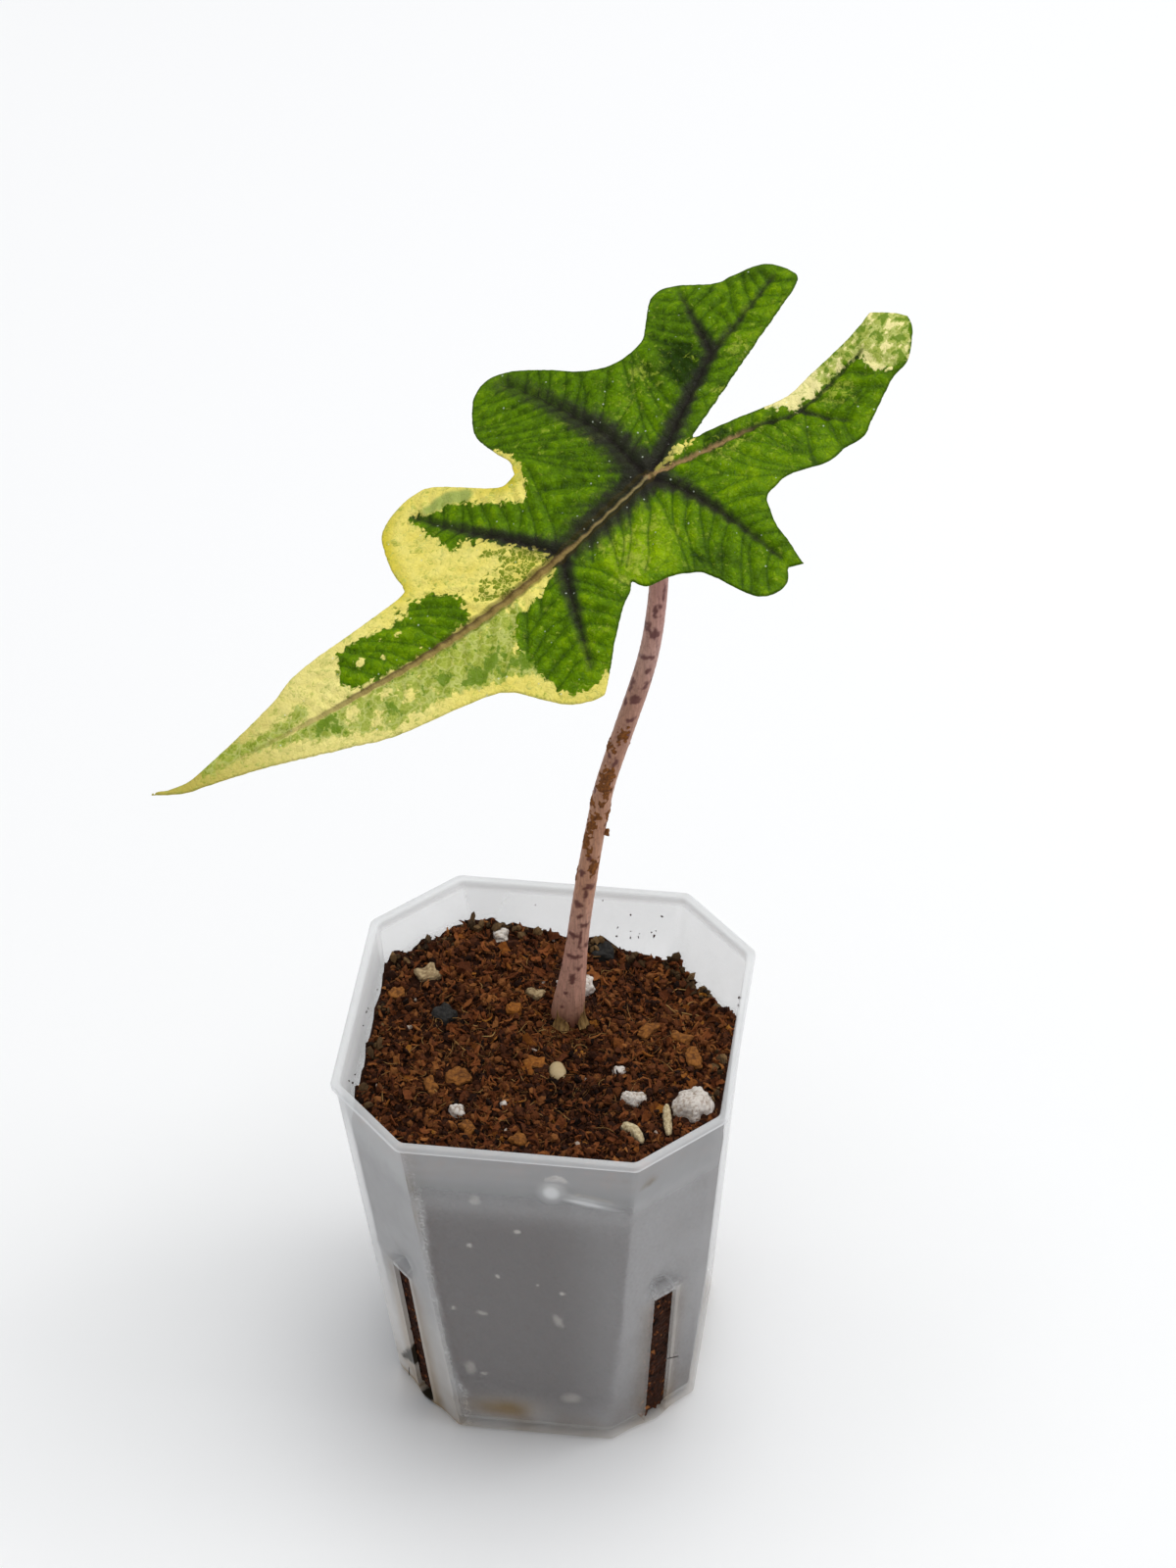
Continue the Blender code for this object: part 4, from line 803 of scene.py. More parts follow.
def petioleMaterial():
    # living petiole: satin skin, mauve with maroon dashes across it and brown corky patches at mid height
    material, add, inMm, read = newMaterial("alocasia petiole skin", ("cork", "maroon"))
    # lengthwise streaks 0.3 mm wide, and a faint bloom of maroon points between the marks
    streaks = add("VectorMath MULTIPLY", inMm, (2.6, 2.6, 0.14))
    streaks = add("TexNoise", Vector=streaks, Scale=1.0, Detail=3.0)
    points = add("TexNoise", Vector=inMm, Scale=1.5, Detail=3.0, Roughness=0.6)
    cork = add("TexNoise", Vector=inMm, Scale=1.6, Detail=4.0, Roughness=0.7)
    # mauve skin by height; the lower skin is painted lighter, painted light against the shade that the leaf
    # and the crumbs cast there
    rise = add("MapRange", add("SeparateXYZ", inMm).outputs["Z"], 68.0, 185.0)
    skin = add("ValToRGB", rise, stops=(
        (0, "#a06a55"), (0.02, "#b98a74"), (0.06, "#dca893"), (0.12, "#d8a390"), (0.2, "#d0a08c"),
        (0.27, "#c49176"), (0.42, "#bb8a6e"), (0.62, "#b48674"), (0.7, "#be9488"), (0.78, "#be8e84"),
        (1, "#a87067")))
    corkMask = add("MapRange", add("Math MULTIPLY_ADD", read["cork"], 0.7, cork), 0.84, 1.04, 0.0, 0.9)
    corkTone = add("Mix", add("MapRange", cork, 0.35, 0.65), "#43230d", "#9a5c20")
    colour = add("VectorMath SCALE", skin, add("MapRange", streaks, 0.3, 0.7, 0.80, 1.20))
    for mask, tone in ((add("MapRange", points, 0.52, 0.72, 0.0, 0.5), "#7a4d4b"),
                       (add("Math MULTIPLY", read["maroon"], 0.82, use_clamp=True), "#5a2c2e"),
                       (corkMask, corkTone)):
        colour = add("Mix", mask, colour, tone)
    relief = add("Math MULTIPLY_ADD", cork, 0.6, add("Math ADD", corkMask, streaks))
    rough = add("MapRange", corkMask, 0.0, 1.0, 0.38, 0.85)
    return finish(material, colour, rough, relief, 0.6, 0.12, ior=1.42, gloss=0.18)


def buildFlake(material):
    # a curled scrap of dead skin that stands off the petiole's side: a bent sheet, thicker at its root
    baseX, baseY, baseZ = petiole["flake"]
    rows, columns = 9, 7
    share, across = np.meshgrid(np.linspace(0, 1, rows), np.linspace(-1, 1, columns), indexing="ij")
    width = 0.62 * np.sqrt(1 - (2 * share - 0.9) ** 2 * 0.7)
    outer = np.stack([baseX + 0.95 * np.sin(share * 2.1) + 0.08 * np.sin(across * 4),
                      baseY - 0.35 * share + across * width * 0.5,
                      baseZ + across * width + 0.9 * share**2 + 0.1 * np.sin(share * 7)],
                     axis=-1).reshape(-1, 3)
    newPiece("petiole_flake", np.vstack([outer, outer + [-0.14, 0.05, -0.06]]), [sheetFaces(rows, columns)],
             material, fields={"pit": np.tile(share.ravel(), 2)})


# Pot

pot = dict(
    height=80.0,
    rimWidth=70.0,
    baseWidth=54.8,
    rimChamfer=13.5,
    baseChamfer=13.3,
    wall=0.9,
    floor=1.2,
    cornerRadius=2.0,
    cornerSteps=6,
    footRadius=1.0,
    bandProud=0.7,
    slotWidth=4.8,
    slotTop=36.7,
    ledge=37.6,
    ledgeRise=0.9,
    pressTop=46.0,
    pressDepth=2.2,
    swell=0.9,
    reach=3.2,
)
slotColumns = np.concatenate([
    (-7.0, -6.0, -5.0, -4.2, -3.5, -2.9, -2.4), np.linspace(-2, 2, 9), (2.4, 2.9, 3.5, 4.2, 5.0, 6.0, 7.0),
])
# shares of a wide side's half length, closer together near its corners
flatColumns = np.concatenate([
    np.linspace(*part) for part in ((-0.96, -0.76, 9), (-0.68, 0.68, 15), (0.76, 0.96, 9))])
# The mix is pressed flat on the wall of a wide side between these edges: height, across.
pressedLeft = ((0, -12.0), (10.5, -12.4), (16.2, -14.7), (45, -17.1), (67.3, -17.8),
               (72.6, -18.6), (78, -19.6))
pressedRight = ((0, 13.4), (14.5, 14.5), (26.6, 15.9), (50, 18.2), (69.1, 19.3), (77.9, 20.2))
# How milky the wall is on each side, from +X round: empty, with mix behind it, and low down. From side to
# side the values also differ as painted light and shade.
wallHazeAndPaintedLight = np.array((
    (0.22, 0.20, 0.26), (0.23, 0.30, 0.30), (0.21, 0.30, 0.30), (0.23, 0.30, 0.30),
    (0.42, 0.30, 0.32), (0.27, 0.31, 0.50), (0.29, 0.225, 0.24), (0.25, 0.235, 0.18),
))
# Smears of mud on the front left side: loops of across, height.
smears = (
    ((-8, 4.7), (-2.5, 12.8), (1.5, 15.6), (1.2, 8.5), (-1.3, 8.3), (-6.2, 5.4)),
    ((1.5, 8.5), (-0.6, 4.4), (-1.4, 0.4), (-0.3, -1.4), (1.9, -0.5), (2.2, 6.5)),
)

# Pale bits that lie against the front wall: across, height, half width, half height, tilt, strength
wallBits = (
    (-8.2, 65.4, 0.9, 1.4, 0, 0.5), (5.6, 70.5, 2.1, 2.5, 0, 1.0), (11.5, 68.4, 5.0, 0.75, -0.2, 1.0),
    (-1.1, 57.5, 0.6, 0.6, 0, 0.5), (-9.8, 52.5, 0.6, 0.5, 0, 0.5), (-5.2, 44.4, 0.5, 0.45, 0, 0.5),
    (1.9, 43.0, 0.35, 0.35, 0, 0.4), (6.2, 41.0, 0.6, 0.5, 0, 0.5), (5.2, 33.0, 0.8, 1.9, 0.3, 0.3),
    (-13.6, 34.2, 0.5, 0.6, 0, 0.4), (-8.4, 33.4, 1.0, 0.6, -0.3, 0.35), (-11.4, 17.0, 1.0, 1.8, 0, 0.35),
    (6.8, 10.4, 1.8, 1.4, 0.2, 0.3), (-8.9, 15.6, 0.7, 0.4, 0, 0.3),
)


def potSection(z):
    # half width across the flats and distance of the cut corners' faces, both straight in z
    wallTop = pot["rimWidth"] - 2 * pot["bandProud"]
    width = pot["baseWidth"] + (wallTop - pot["baseWidth"]) * z / pot["height"]
    chamfer = pot["baseChamfer"] + (pot["rimChamfer"] - pot["baseChamfer"]) * z / pot["height"]
    return width / 2, (width - chamfer) / math.sqrt(2)


def slotRelief(across, z):
    # out by a fading swell beside the slot, in by a scoop above its ledge, both bell-shaped across
    fade = bell(across / pot["reach"])
    if z <= pot["ledge"]:
        return pot["swell"] * (1 - z / pot["ledge"]) * fade
    if z >= pot["pressTop"]:
        return 0.0 * fade
    depth = min(1.0, (pot["pressTop"] - z) / (pot["pressTop"] - pot["ledge"] - pot["ledgeRise"])) ** 1.5
    step = min(1.0, (z - pot["ledge"]) / pot["ledgeRise"])
    return -pot["pressDepth"] * depth * step * fade


def onSide(angle, outward, across, z):
    # places on a pot side that faces the compass angle
    return np.stack([np.cos(angle) * outward - np.sin(angle) * across,
                     np.sin(angle) * outward + np.cos(angle) * across, z], axis=1)


def potRing(z, offset):
    # the eight-sided outline at height z, moved out by offset, with round corners
    radius = pot["cornerRadius"]
    reaches = [reach + offset - radius for reach in potSection(z)] * 4
    parts = []
    for side, reach in enumerate(reaches):
        angle = math.radians(45 * side)
        normal = np.array([math.cos(angle), math.sin(angle)])
        along = np.array([-normal[1], normal[0]])
        corner = (reaches[side - 7] - reach * math.cos(math.pi / 4)) / math.sin(math.pi / 4)
        if side % 2:
            outward = reach + radius + slotRelief(slotColumns, z)
            parts.append(normal * outward[:, None] + along * slotColumns[:, None])
        else:
            parts.append(normal * (reach + radius) + along * (flatColumns * corner)[:, None])
        theta = angle + math.pi / 4 * np.linspace(0, 1, pot["cornerSteps"] + 1)
        arc = np.stack([np.cos(theta), np.sin(theta)], axis=1) * radius
        parts.append(normal * reach + along * corner + arc)
    ring = np.vstack(parts)
    return np.column_stack([ring, np.full(len(ring), z)])


def buildPot(material):
    # an outer and an inner skin that meet at the rim, as rows of (height, offset); cells in the four slots
    # are left out, and faces through the wall close their edges
    foot, wall, floor, top, proud = (
        pot[key] for key in ("footRadius", "wall", "floor", "height", "bandProud"))
    low = np.linspace(floor + foot, pot["slotTop"], 34)
    press = np.concatenate([[37.2, 37.6, 37.8, 38.0, 38.25, 38.5], np.linspace(39.0, pot["pressTop"], 13)])
    shared = np.concatenate([low, press, np.linspace(pot["pressTop"] + 1.2, 77.9, 26)])
    under = [(0.0, -foot), (0.06, -0.62), (0.3, -0.28), (0.62, -0.06), (1.0, 0.0), (floor, 0.0)]
    rim = [(78.3, 0.0), (78.45, 0.12), (78.56, 0.4), (78.66, 0.6), (78.85, proud), (79.55, proud),
           (79.8, 0.62), (79.94, 0.45), (top, 0.25), (top, -0.35), (79.96, -0.6), (79.85, -0.78),
           (79.6, -wall), (78.8, -wall)]
    rows = under + [(z, 0.0) for z in shared] + rim + [(z, -wall) for z in shared[::-1]]
    rows += [(floor, -wall - foot)]
    rings = np.array([potRing(z, offset) for z, offset in rows])
    count = rings.shape[1]
    faces = gridFaces(len(rows), count, wrap=True)
    row, column = faces[:, 0] // count, faces[:, 0] % count
    outerRows = len(under) - 1 + np.arange(len(low) + 1)
    innerRows = len(rows) - 1 - np.arange(len(low) + 1)
    inSlot = ((row >= outerRows[0]) & (row < outerRows[-1])) | ((row >= innerRows[-1]) & (row < innerRows[0]))
    perSide = [len(columns) + pot["cornerSteps"] + 1 for columns in (flatColumns, slotColumns)] * 4
    edges = [int(np.argmin(np.abs(slotColumns - edge * pot["slotWidth"] / 2))) for edge in (-1, 1)]
    keep = np.ones(len(faces), bool)
    closing = []
    for side in (1, 3, 5, 7):
        left, right = (sum(perSide[:side]) + edge for edge in edges)
        keep &= ~(inSlot & (column >= left) & (column < right))
        across = np.arange(left, right + 1)
        for outside, inside, order in (
                (outerRows * count + left, innerRows * count + left, (0, 3, 2, 1)),
                (outerRows * count + right, innerRows * count + right, (0, 1, 2, 3)),
                (outerRows[0] * count + across, innerRows[0] * count + across, (0, 1, 2, 3)),
                (outerRows[-1] * count + across, innerRows[-1] * count + across, (0, 3, 2, 1))):
            quad = outside[:-1], outside[1:], inside[1:], inside[:-1]
            closing.append(np.stack([quad[number] for number in order], axis=1))
    points = np.vstack([rings.reshape(-1, 3), [[0, 0, 0]], [[0, 0, floor]]])
    every = [np.vstack([faces[keep]] + closing), endFans(len(rows), count)]
    piece = newPiece("pot_wall", points, every, material, ["pot"], potFields(points))
    piece.data.set_sharp_from_angle(angle=math.radians(38))
    print("pot:", sum(len(part) * (part.shape[1] - 2) for part in every), "triangles")


def potFields(points):
    # for each point the side it belongs to and its place across it; from these, how milky the wall is,
    # how far inside the pressed-on mix it lies, the brown tint, the bright cut edges and the mud
    x, y, z = points.T
    angles = np.radians(45 * np.arange(8))[:, None]
    reach = np.stack(potSection(z) * 4)
    side = (x * np.cos(angles) + y * np.sin(angles) - reach).argmax(axis=0)
    turn = np.radians(45 * side)
    across = y * np.cos(turn) - x * np.sin(turn)
    corner, front, leftCorner, rightCorner = side % 2, side == 6, side == 5, side == 7
    wander = 0.5 * waveNoise(points, 3.0, 3) + 0.35 * waveNoise(points, 1.4, 4)

    # milkiness: more where the pot is empty, less where the mix is behind, and by height; from side to side
    # it also differs as painted light and shade
    filled = 1 - softStep(-1.5, 1.5, z - mixHeight(x, y))
    low = 1 - softStep(10 + 4 * leftCorner, 36 + 8 * leftCorner, z)
    empty, packed, foot = wallHazeAndPaintedLight[side].T
    haze = empty + (packed + (foot - packed) * low - empty) * filled
    # painted light: low down on its left half the front left corner is milkier and so lighter
    haze += 0.25 * low * leftCorner * softStep(0.5, -2, across) - 0.0022 * across * front
    left = across - np.interp(z, *np.array(pressedLeft).T)
    right = np.interp(z, *np.array(pressedRight).T) - across
    pressed = np.min([left, right + 0.5 * wander, (z - 2.0 + 2 * wander) * 0.5], axis=0)
    pressed = np.where((corner == 1) | (side % 4 == 0), -4.0, pressed + 0.6 * wander)
    veil = softStep(65 - 4 * front, 71.5 + 3.5 * front, z + 1.5 * wander)
    veil *= (1 - softStep(77.9, 78.6, z)) * (side >= 5)
    shade = np.array((0, 0, 0, 0, 0, 0.22, 0.41, 0.44))[side] * softStep(0, 1 - 0.5 * front, veil)
    # painted shade on the left wall, darker down toward the mix
    shade = np.maximum(shade, 0.7 * (side == 4) * (1 - softStep(71, 78, z)))

    # brown tint: at the foot and the base, beside the slots, round the pressed zone and at the joint of the
    # rim, with the yellow patch and the orange speck of the photograph
    yellow = np.exp(-(((x + 5) / 6) ** 2) - ((z - 7) / 3) ** 2) * front
    stain = 0.45 * (1 - softStep(2, 13, z)) * (0.5 + 0.5 * waveNoise(points, 6.0, 6)) + 0.9 * yellow
    stain += 0.38 * bell((np.abs(across) - 3.4) / 1.6) * corner * (1 - softStep(34, 39, z))
    # with 0.22 * low the front left corner's low part gets a warm tint, painted light like its extra
    # milkiness
    stain += 0.22 * low * leftCorner + 0.55 * (1 - softStep(0.4, 1.8, z)) + 0.08 * wander
    stain += (0.10 * bell(left / 2.5) + 0.7 * bell((left + 1.6) / 0.7) * softStep(52, 58, z)
              * (1 - softStep(70, 76, z)) * (0.6 + wander)) * front
    stain += 0.9 * bell((across + 6.25) / 1.1) * bell((z - 73.25) / 0.8) * rightCorner
    lines = 0.5 + 0.5 * np.sin(z * 2.9 + 0.15 * x)
    stain += 0.06 * lines * softStep(68, 72, z) * (1 - softStep(77.5, 78.5, z)) * front

    # the slots' right edges and the lens above each shine; mud lies in the drawn smears
    jamb = softStep(2.3, 2.5, across) * (z < 37.5) * (0.8 * (1 - softStep(3.2, 3.8, across)) * rightCorner
                                                      + 0.9 * (1 - softStep(2.7, 3.3, across)) * leftCorner)
    lens = 1 - softStep(0.75, 1.05, np.hypot(across / 2.3, (z - 37.7 - 0.25 * across) / 1.3))
    mud = np.max([insideBy(np.stack([across, z], axis=1), loop) for loop in smears], axis=0)
    return {
        "haze": haze, "veil": veil, "shade": shade, "pressed": np.clip(pressed, -4, 4), "front": front,
        "pressedHaze": (0.117 + 0.045 * softStep(5, 16, across) + 0.12 * softStep(56, 77, z) + 0.25 * yellow
                        + 0.10 * (1 - softStep(2, 12, z))),
        "seam": bell((left + 0.2) / 0.55) * front * (pressed > -3), "rim": softStep(77.9, 78.6, z),
        "stain": np.clip(stain, 0, 1), "jamb": jamb + 2.0 * lens * (1 - lens) * corner,
        "mud": np.where(leftCorner, np.clip(mud, -4, None), -4.0),
    }


def paintedBits(add, place, bits, front):
    # each bit is an oval: its share of the way from the middle to the border, one number, sets its strength
    total = 0.0
    for across, height, halfWidth, halfHeight, tilt, strength in bits:
        moved = add("Mapping", place, (across, 0, height), (0, -tilt, 0), (halfWidth, 1e3, halfHeight),
                    vector_type="TEXTURE")
        oval = add("MapRange", add("VectorMath LENGTH", moved), 0.3, 1.55, strength, 0.0,
                   interpolation_type="SMOOTHSTEP")
        total = add("Math MAXIMUM", oval, total)
    return add("Math MULTIPLY", total, front)


def potMaterial():
    # polypropylene injection moulded, natural: milky and see-through, satin, with a faint flow texture
    material, add, inMm, read = newMaterial("polypropylene moulded clear", (
        "haze", "veil", "shade", "pressed", "pressedHaze", "seam", "rim", "stain", "jamb", "mud", "front"))
    cloud = add("TexNoise", Vector=inMm, Scale=0.12, Detail=3.0)
    ragged = add("TexNoise", Vector=inMm, Scale=1.1, Detail=3.0, Roughness=0.6)
    flow = add("VectorMath MULTIPLY", inMm, (0.5, 0.5, 0.05))
    streak = add("TexNoise", Vector=flow, Scale=1.0, Detail=2.0)
    swing = add("Math MULTIPLY_ADD", ragged, 1.8, -0.9)
    # the pressed zone ends raggedly; above the mix the frosting blurs what lies behind into one grey, drawn
    # as a denser, duller wall; the perlite and the root that touch the wall show sharply
    zone = add("MapRange", add("Math ADD", read["pressed"], swing), -0.5, 0.9)
    touching = add("Math MULTIPLY", paintedBits(add, inMm, wallBits[1:3], read["front"]), 0.9)
    haze = add("Math ADD", read["haze"], add("MapRange", cloud, 0.3, 0.7, -0.02, 0.02))
    for mask, level in ((zone, read["pressedHaze"]), (read["veil"], 0.5), (touching, 0.75)):
        haze = add("Mix FLOAT", mask, haze, level)
    # bright specks where the mix leaves the wall, bright cut edges, a thicker rim, and mud that hides all
    bright = add("Math MULTIPLY", read["seam"], add("MapRange", ragged, 0.5, 0.62, 0.0, 0.2))
    haze = add("Math ADD", haze, add("Math MULTIPLY_ADD", read["jamb"], 0.2, bright))
    mud = add("MapRange", add("Math ADD", read["mud"], swing), -0.4, 0.4)
    for mask, level in ((read["rim"], 0.5), (mud, 0.93)):
        haze = add("Mix FLOAT", mask, haze, level)
    colour = add("Mix", mud, add("Mix", read["stain"], "#f4f5f6", "#ac8f62"), "#30291d")
    clear = add("Math MAXIMUM", add("Math SUBTRACT", 1.0, read["shade"]), touching)
    colour = add("VectorMath SCALE", colour, clear)
    rough = add("MapRange", streak, 0.3, 0.7, 0.28, 0.4)
    return finish(material, colour, rough, streak, 0.15, 0.1, ior=1.49, alpha=haze)


# Growing mix

mix = dict(
    level=69.2,
    gap=0.3,
    topRings=84,  # from the wall to the middle
    reach=34,  # half the width of the square that loose pieces are strewn over
    crumbCount=8200,
    shredCount=2700,
    flakeCount=1500,
    chipCount=130,
    clodCount=560,  # around the lumps at the wall; those that don't fit are dropped
    strandCount=560,
    footStrandCount=110,
    slotCrumbs=340,  # per slot
    sideSpecks=16,  # on the inside of the left and right walls
    seed=7,
)
mixMounds = (  # x, y, height, spread
    (-20, 20, 2.0, 15), (25, 27, -5.5, 13), (0, -30, 1.8, 12), (7, 0, -1.4, 9), (1, 12, -1.6, 6),
)
wallClods = (  # lumps of mix that lean on the wall: x, y, height
    (-32.0, 17.6, 1.5), (-30.7, 20.8, 2.4), (-26.4, 25.1, 1.6), (-21.7, 29.6, 0.5), (-18.0, 31.8, 1.5),
    (-14.8, 32.0, 2.3), (-10.8, 31.9, 1.5), (-6.4, 31.8, 0.5), (3.9, 31.8, 1.3), (6.1, 31.8, 2.5),
    (11.3, 31.6, 0.3), (17.2, 31.4, 1.2), (19.8, 30.9, 1.7), (22.3, 28.2, 1.1), (25.9, 24.5, 1.2),
    (-32.0, 7.2, 2.0), (-32.0, -1.5, 2.0), (-32.0, -12.8, 2.6), (31.8, 3.0, 0.8), (32.0, -6.0, 0.7),
)
# lighter or darker areas of the mix, partly its own tone and partly painted light and shade, such as the
# painted shadow at the centre right
mixLightAndShade = (  # lighter or darker areas: x, y, reach, strength
    (8, -8, 8, -0.25), (-1, 16, 5, -0.10), (22, 10, 9, 0.20), (-22, -5, 8, 0.12), (-14, 20, 8, 0.09),
    (12, -14, 5, -0.12), (-30, 22, 5, -0.14), (-32, -8, 4, -0.12), (8, 30, 5, -0.10), (28, 18, 5, -0.06),
)
whiteSpecks = (  # crumbs of perlite: x, y
    (-25.5, 10.6), (-8.4, 1.5), (-2.8, 2.6), (-3.5, 19.5), (7, -3.2), (21.6, -16.3),
    (-5.5, -13), (-1.6, 21.9), (-30.9, -15.1), (-18.1, -22.9), (-25.4, 3.9), (-16.4, 31.5),
    (-3.3, 30.2), (8.5, -21.2), (-4.5, -19.4), (-28.7, -11),
)
longStrands = (  # drawn strands: start x, y, end x, y
    (20.9, 2.5, 20.4, 12.2), (23.2, 12.8, 23.5, 22.2), (19.9, 18.7, 25.6, 17.3), (-17.9, 2.3, -13.3, -1.4),
    (3.7, 7.4, 5.1, -0.2), (7.2, 29.5, 10.4, 27.2), (18.7, 19.6, 20.8, 17.7), (-27.7, -10.8, -26.3, -16.6),
    (-8.8, -0.6, -4.3, -2.1), (-19.8, -8.1, -17.8, -11.8), (29.7, 1, 30.6, 5.7), (-2.8, 7.6, -0.1, 8.6),
    (2.9, -12.1, 6.2, -15), (-8, -14.9, -5.4, -17.9),
)
backWallBits = (  # specks that stick to the inside of the back wall: across, height
    (-10.6, 69.9), (-12.1, 70.2), (-14.9, 70.4), (-8.1, 70.0), (6.8, 75.7), (-5.6, 78.0), (-10.7, 75.2),
    (-16.4, 75.4), (-14.5, 71.5), (-15.3, 71.9), (-15, 70.8), (-12.3, 71.0), (-10.7, 71.4), (-8.3, 72.0),
)


def mixHeight(x, y):
    # a level with a bell-shaped rise or dip for each mound
    return mix["level"] + humps(x, y, mixMounds)


def crumbHeight(x, y):
    # the mix's own relief: mounds with lumps of about 4 mm and 1.5 mm on them, and clods at the wall
    places = np.stack([np.ravel(x), np.ravel(y)], axis=1)
    lumps = 0.5 * waveNoise(places, 4.5, 21) + 0.35 * waveNoise(places, 1.8, 22)
    for clodX, clodY, rise in wallClods:
        lumps += 0.8 * rise * np.exp(-((places[:, 0] - clodX) ** 2 + (places[:, 1] - clodY) ** 2) / 2.6)
    return mixHeight(x, y) + lumps.reshape(np.shape(x))


def wallRoom(x, y):
    # how far inside the wall's inner face a point is, from the eight sides
    flat, cut = (reach - pot["wall"] - mix["gap"] for reach in potSection(mix["level"]))
    return np.minimum(flat - np.maximum(np.abs(x), np.abs(y)), cut - (np.abs(x) + np.abs(y)) / math.sqrt(2))


def buildBed(material):
    # one closed skin: rings up the side, then rings that shrink over the top to the middle
    offset, bottom, foot = -pot["wall"] - mix["gap"], pot["floor"] + mix["gap"], pot["footRadius"]
    heights = np.concatenate([np.linspace(bottom + foot, 36.5, 24), [36.7, 38.7], np.linspace(39.3, 60, 16)])
    # the slots' ledges make one step in the side
    rings = [potRing(bottom, offset - foot)] + [
        potRing(38.5 if 36.5 < z < 38.8 else z, offset) * [1, 1, 0] + [0, 0, z] for z in heights]
    lower, upper = potRing(60.0, offset), potRing(80.0, offset)
    edge = potRing(mix["level"], offset)
    for _ in range(3):
        share = ((crumbHeight(*edge.T[:2]) - 60) / 20)[:, None]
        edge = lower + (upper - lower) * share
    rings += [rings[-1] + (edge - rings[-1]) * 0.5, edge]
    onSideCount = (len(rings) + 1) * len(edge)
    for share in 1 - np.linspace(0, 1, mix["topRings"])[1:-1] ** 1.05:
        ring = edge * [share, share, 0]
        ring[:, 2] = crumbHeight(*ring.T[:2])
        rings.append(ring)
    points = np.vstack(rings + [[[0, 0, bottom]], [[0, 0, float(crumbHeight(0.0, 0.0))]]])
    front = softStep(0, 1.5, -points[:, 1] - potSection(points[:, 2])[0] + 3)
    front[onSideCount:] = 0
    every = [gridFaces(len(rings), len(edge), wrap=True), endFans(len(rings), len(edge))]
    newPiece("mix_bed", points, every, material, ["growing_mix"], {"front": front})
    print("mix bed:", len(every[0]) * 2, "triangles")


def crumbTemplates(count, draw):
    # icosahedra with each corner pulled in or out, flattened a little
    ratio = (1 + math.sqrt(5)) / 2
    level = np.array([(-1, ratio, 0), (1, ratio, 0), (-1, -ratio, 0), (1, -ratio, 0)])
    corners = np.vstack([np.roll(level, turn, axis=1) for turn in range(3)])
    corners = corners / np.linalg.norm(corners[0])
    faces = np.array([(0, 11, 5), (0, 5, 1), (0, 1, 7), (0, 7, 10), (0, 10, 11), (1, 5, 9), (5, 11, 4),
                      (11, 10, 2), (10, 7, 6), (7, 1, 8), (3, 9, 4), (3, 4, 2), (3, 2, 6), (3, 6, 8),
                      (3, 8, 9), (4, 9, 5), (2, 4, 11), (6, 2, 10), (8, 6, 7), (9, 8, 1)])
    pull = draw.uniform(0.5, 1.2, (count, 12, 1))
    width, depth = draw.uniform(0.45, 0.95, count), draw.uniform(0.35, 0.8, count)
    stretch = np.stack([np.ones(count), width, depth], axis=1)
    return corners[None] * pull * stretch[:, None], [faces]


def shredTemplates(count, draw):
    # bent and twisted ribbons, four corners round at each of five places along them
    along = np.linspace(-1, 1, 5)[None, :, None]
    width, thick = draw.uniform(0.14, 0.38, (count, 1, 1)), draw.uniform(0.06, 0.14, (count, 1, 1))
    fray = draw.uniform(0.55, 1.3, (count, 5, 4)) * (1 - 0.55 * along**4)
    twist = draw.normal(0, 0.8, (count, 1, 1)) * along
    corner = np.radians([25, 155, 205, 335])[None, None]
    y, z = np.cos(corner) * width * fray, np.sin(corner) * thick * 2.2 * fray
    turnedY, turnedZ = y * np.cos(twist) - z * np.sin(twist), y * np.sin(twist) + z * np.cos(twist)
    bend, curl = draw.normal(0, 0.35, (count, 1, 1)), draw.normal(0, 0.22, (count, 1, 1))
    x = np.broadcast_to(along, y.shape)
    points = np.stack([x, turnedY + bend * (x**2 - 0.4), turnedZ + curl * (x**2 - 0.4)], axis=-1)
    ends = np.array([(3, 2, 1, 0), (16, 17, 18, 19)])
    return points.reshape(count, 20, 3), [np.vstack([gridFaces(5, 4, wrap=True), ends])]


def flakeTemplates(count, draw):
    # bent plates with torn borders: three by four points above and the same below
    x, y = np.meshgrid(np.linspace(-1, 1, 4), np.linspace(-1, 1, 3), indexing="ij")
    x, y = x.ravel()[None], y.ravel()[None] * draw.uniform(0.45, 0.85, (count, 1))
    spread = draw.uniform(0.7, 1.2, (count, 12))
    z = draw.normal(0, 0.16, (count, 1)) * x**2 + draw.normal(0, 0.22, (count, 1)) * y**2
    z = z + draw.normal(0, 0.05, (count, 12))
    plates = [np.stack([x * spread * shrink, y * spread * shrink, z + lift], axis=-1)
              for shrink, lift in ((1, 0.11), (0.92, -0.11))]
    return np.concatenate(plates, axis=1), [sheetFaces(4, 3)]


def turnMatrices(count, draw, tilt):
    # any turn about the vertical, after leans about the two level axes
    yaw = draw.uniform(0, 2 * math.pi, count)
    lean, roll = draw.normal(0, tilt, (2, count))
    a, b, c = np.cos(yaw), np.cos(lean), np.cos(roll)
    d, e, f = np.sin(yaw), np.sin(lean), np.sin(roll)
    return np.stack([a * b, a * e * f - d * c, a * e * c + d * f,
                     d * b, d * e * f + a * c, d * e * c - a * f, -e, b * f, b * c], axis=1).reshape(-1, 3, 3)


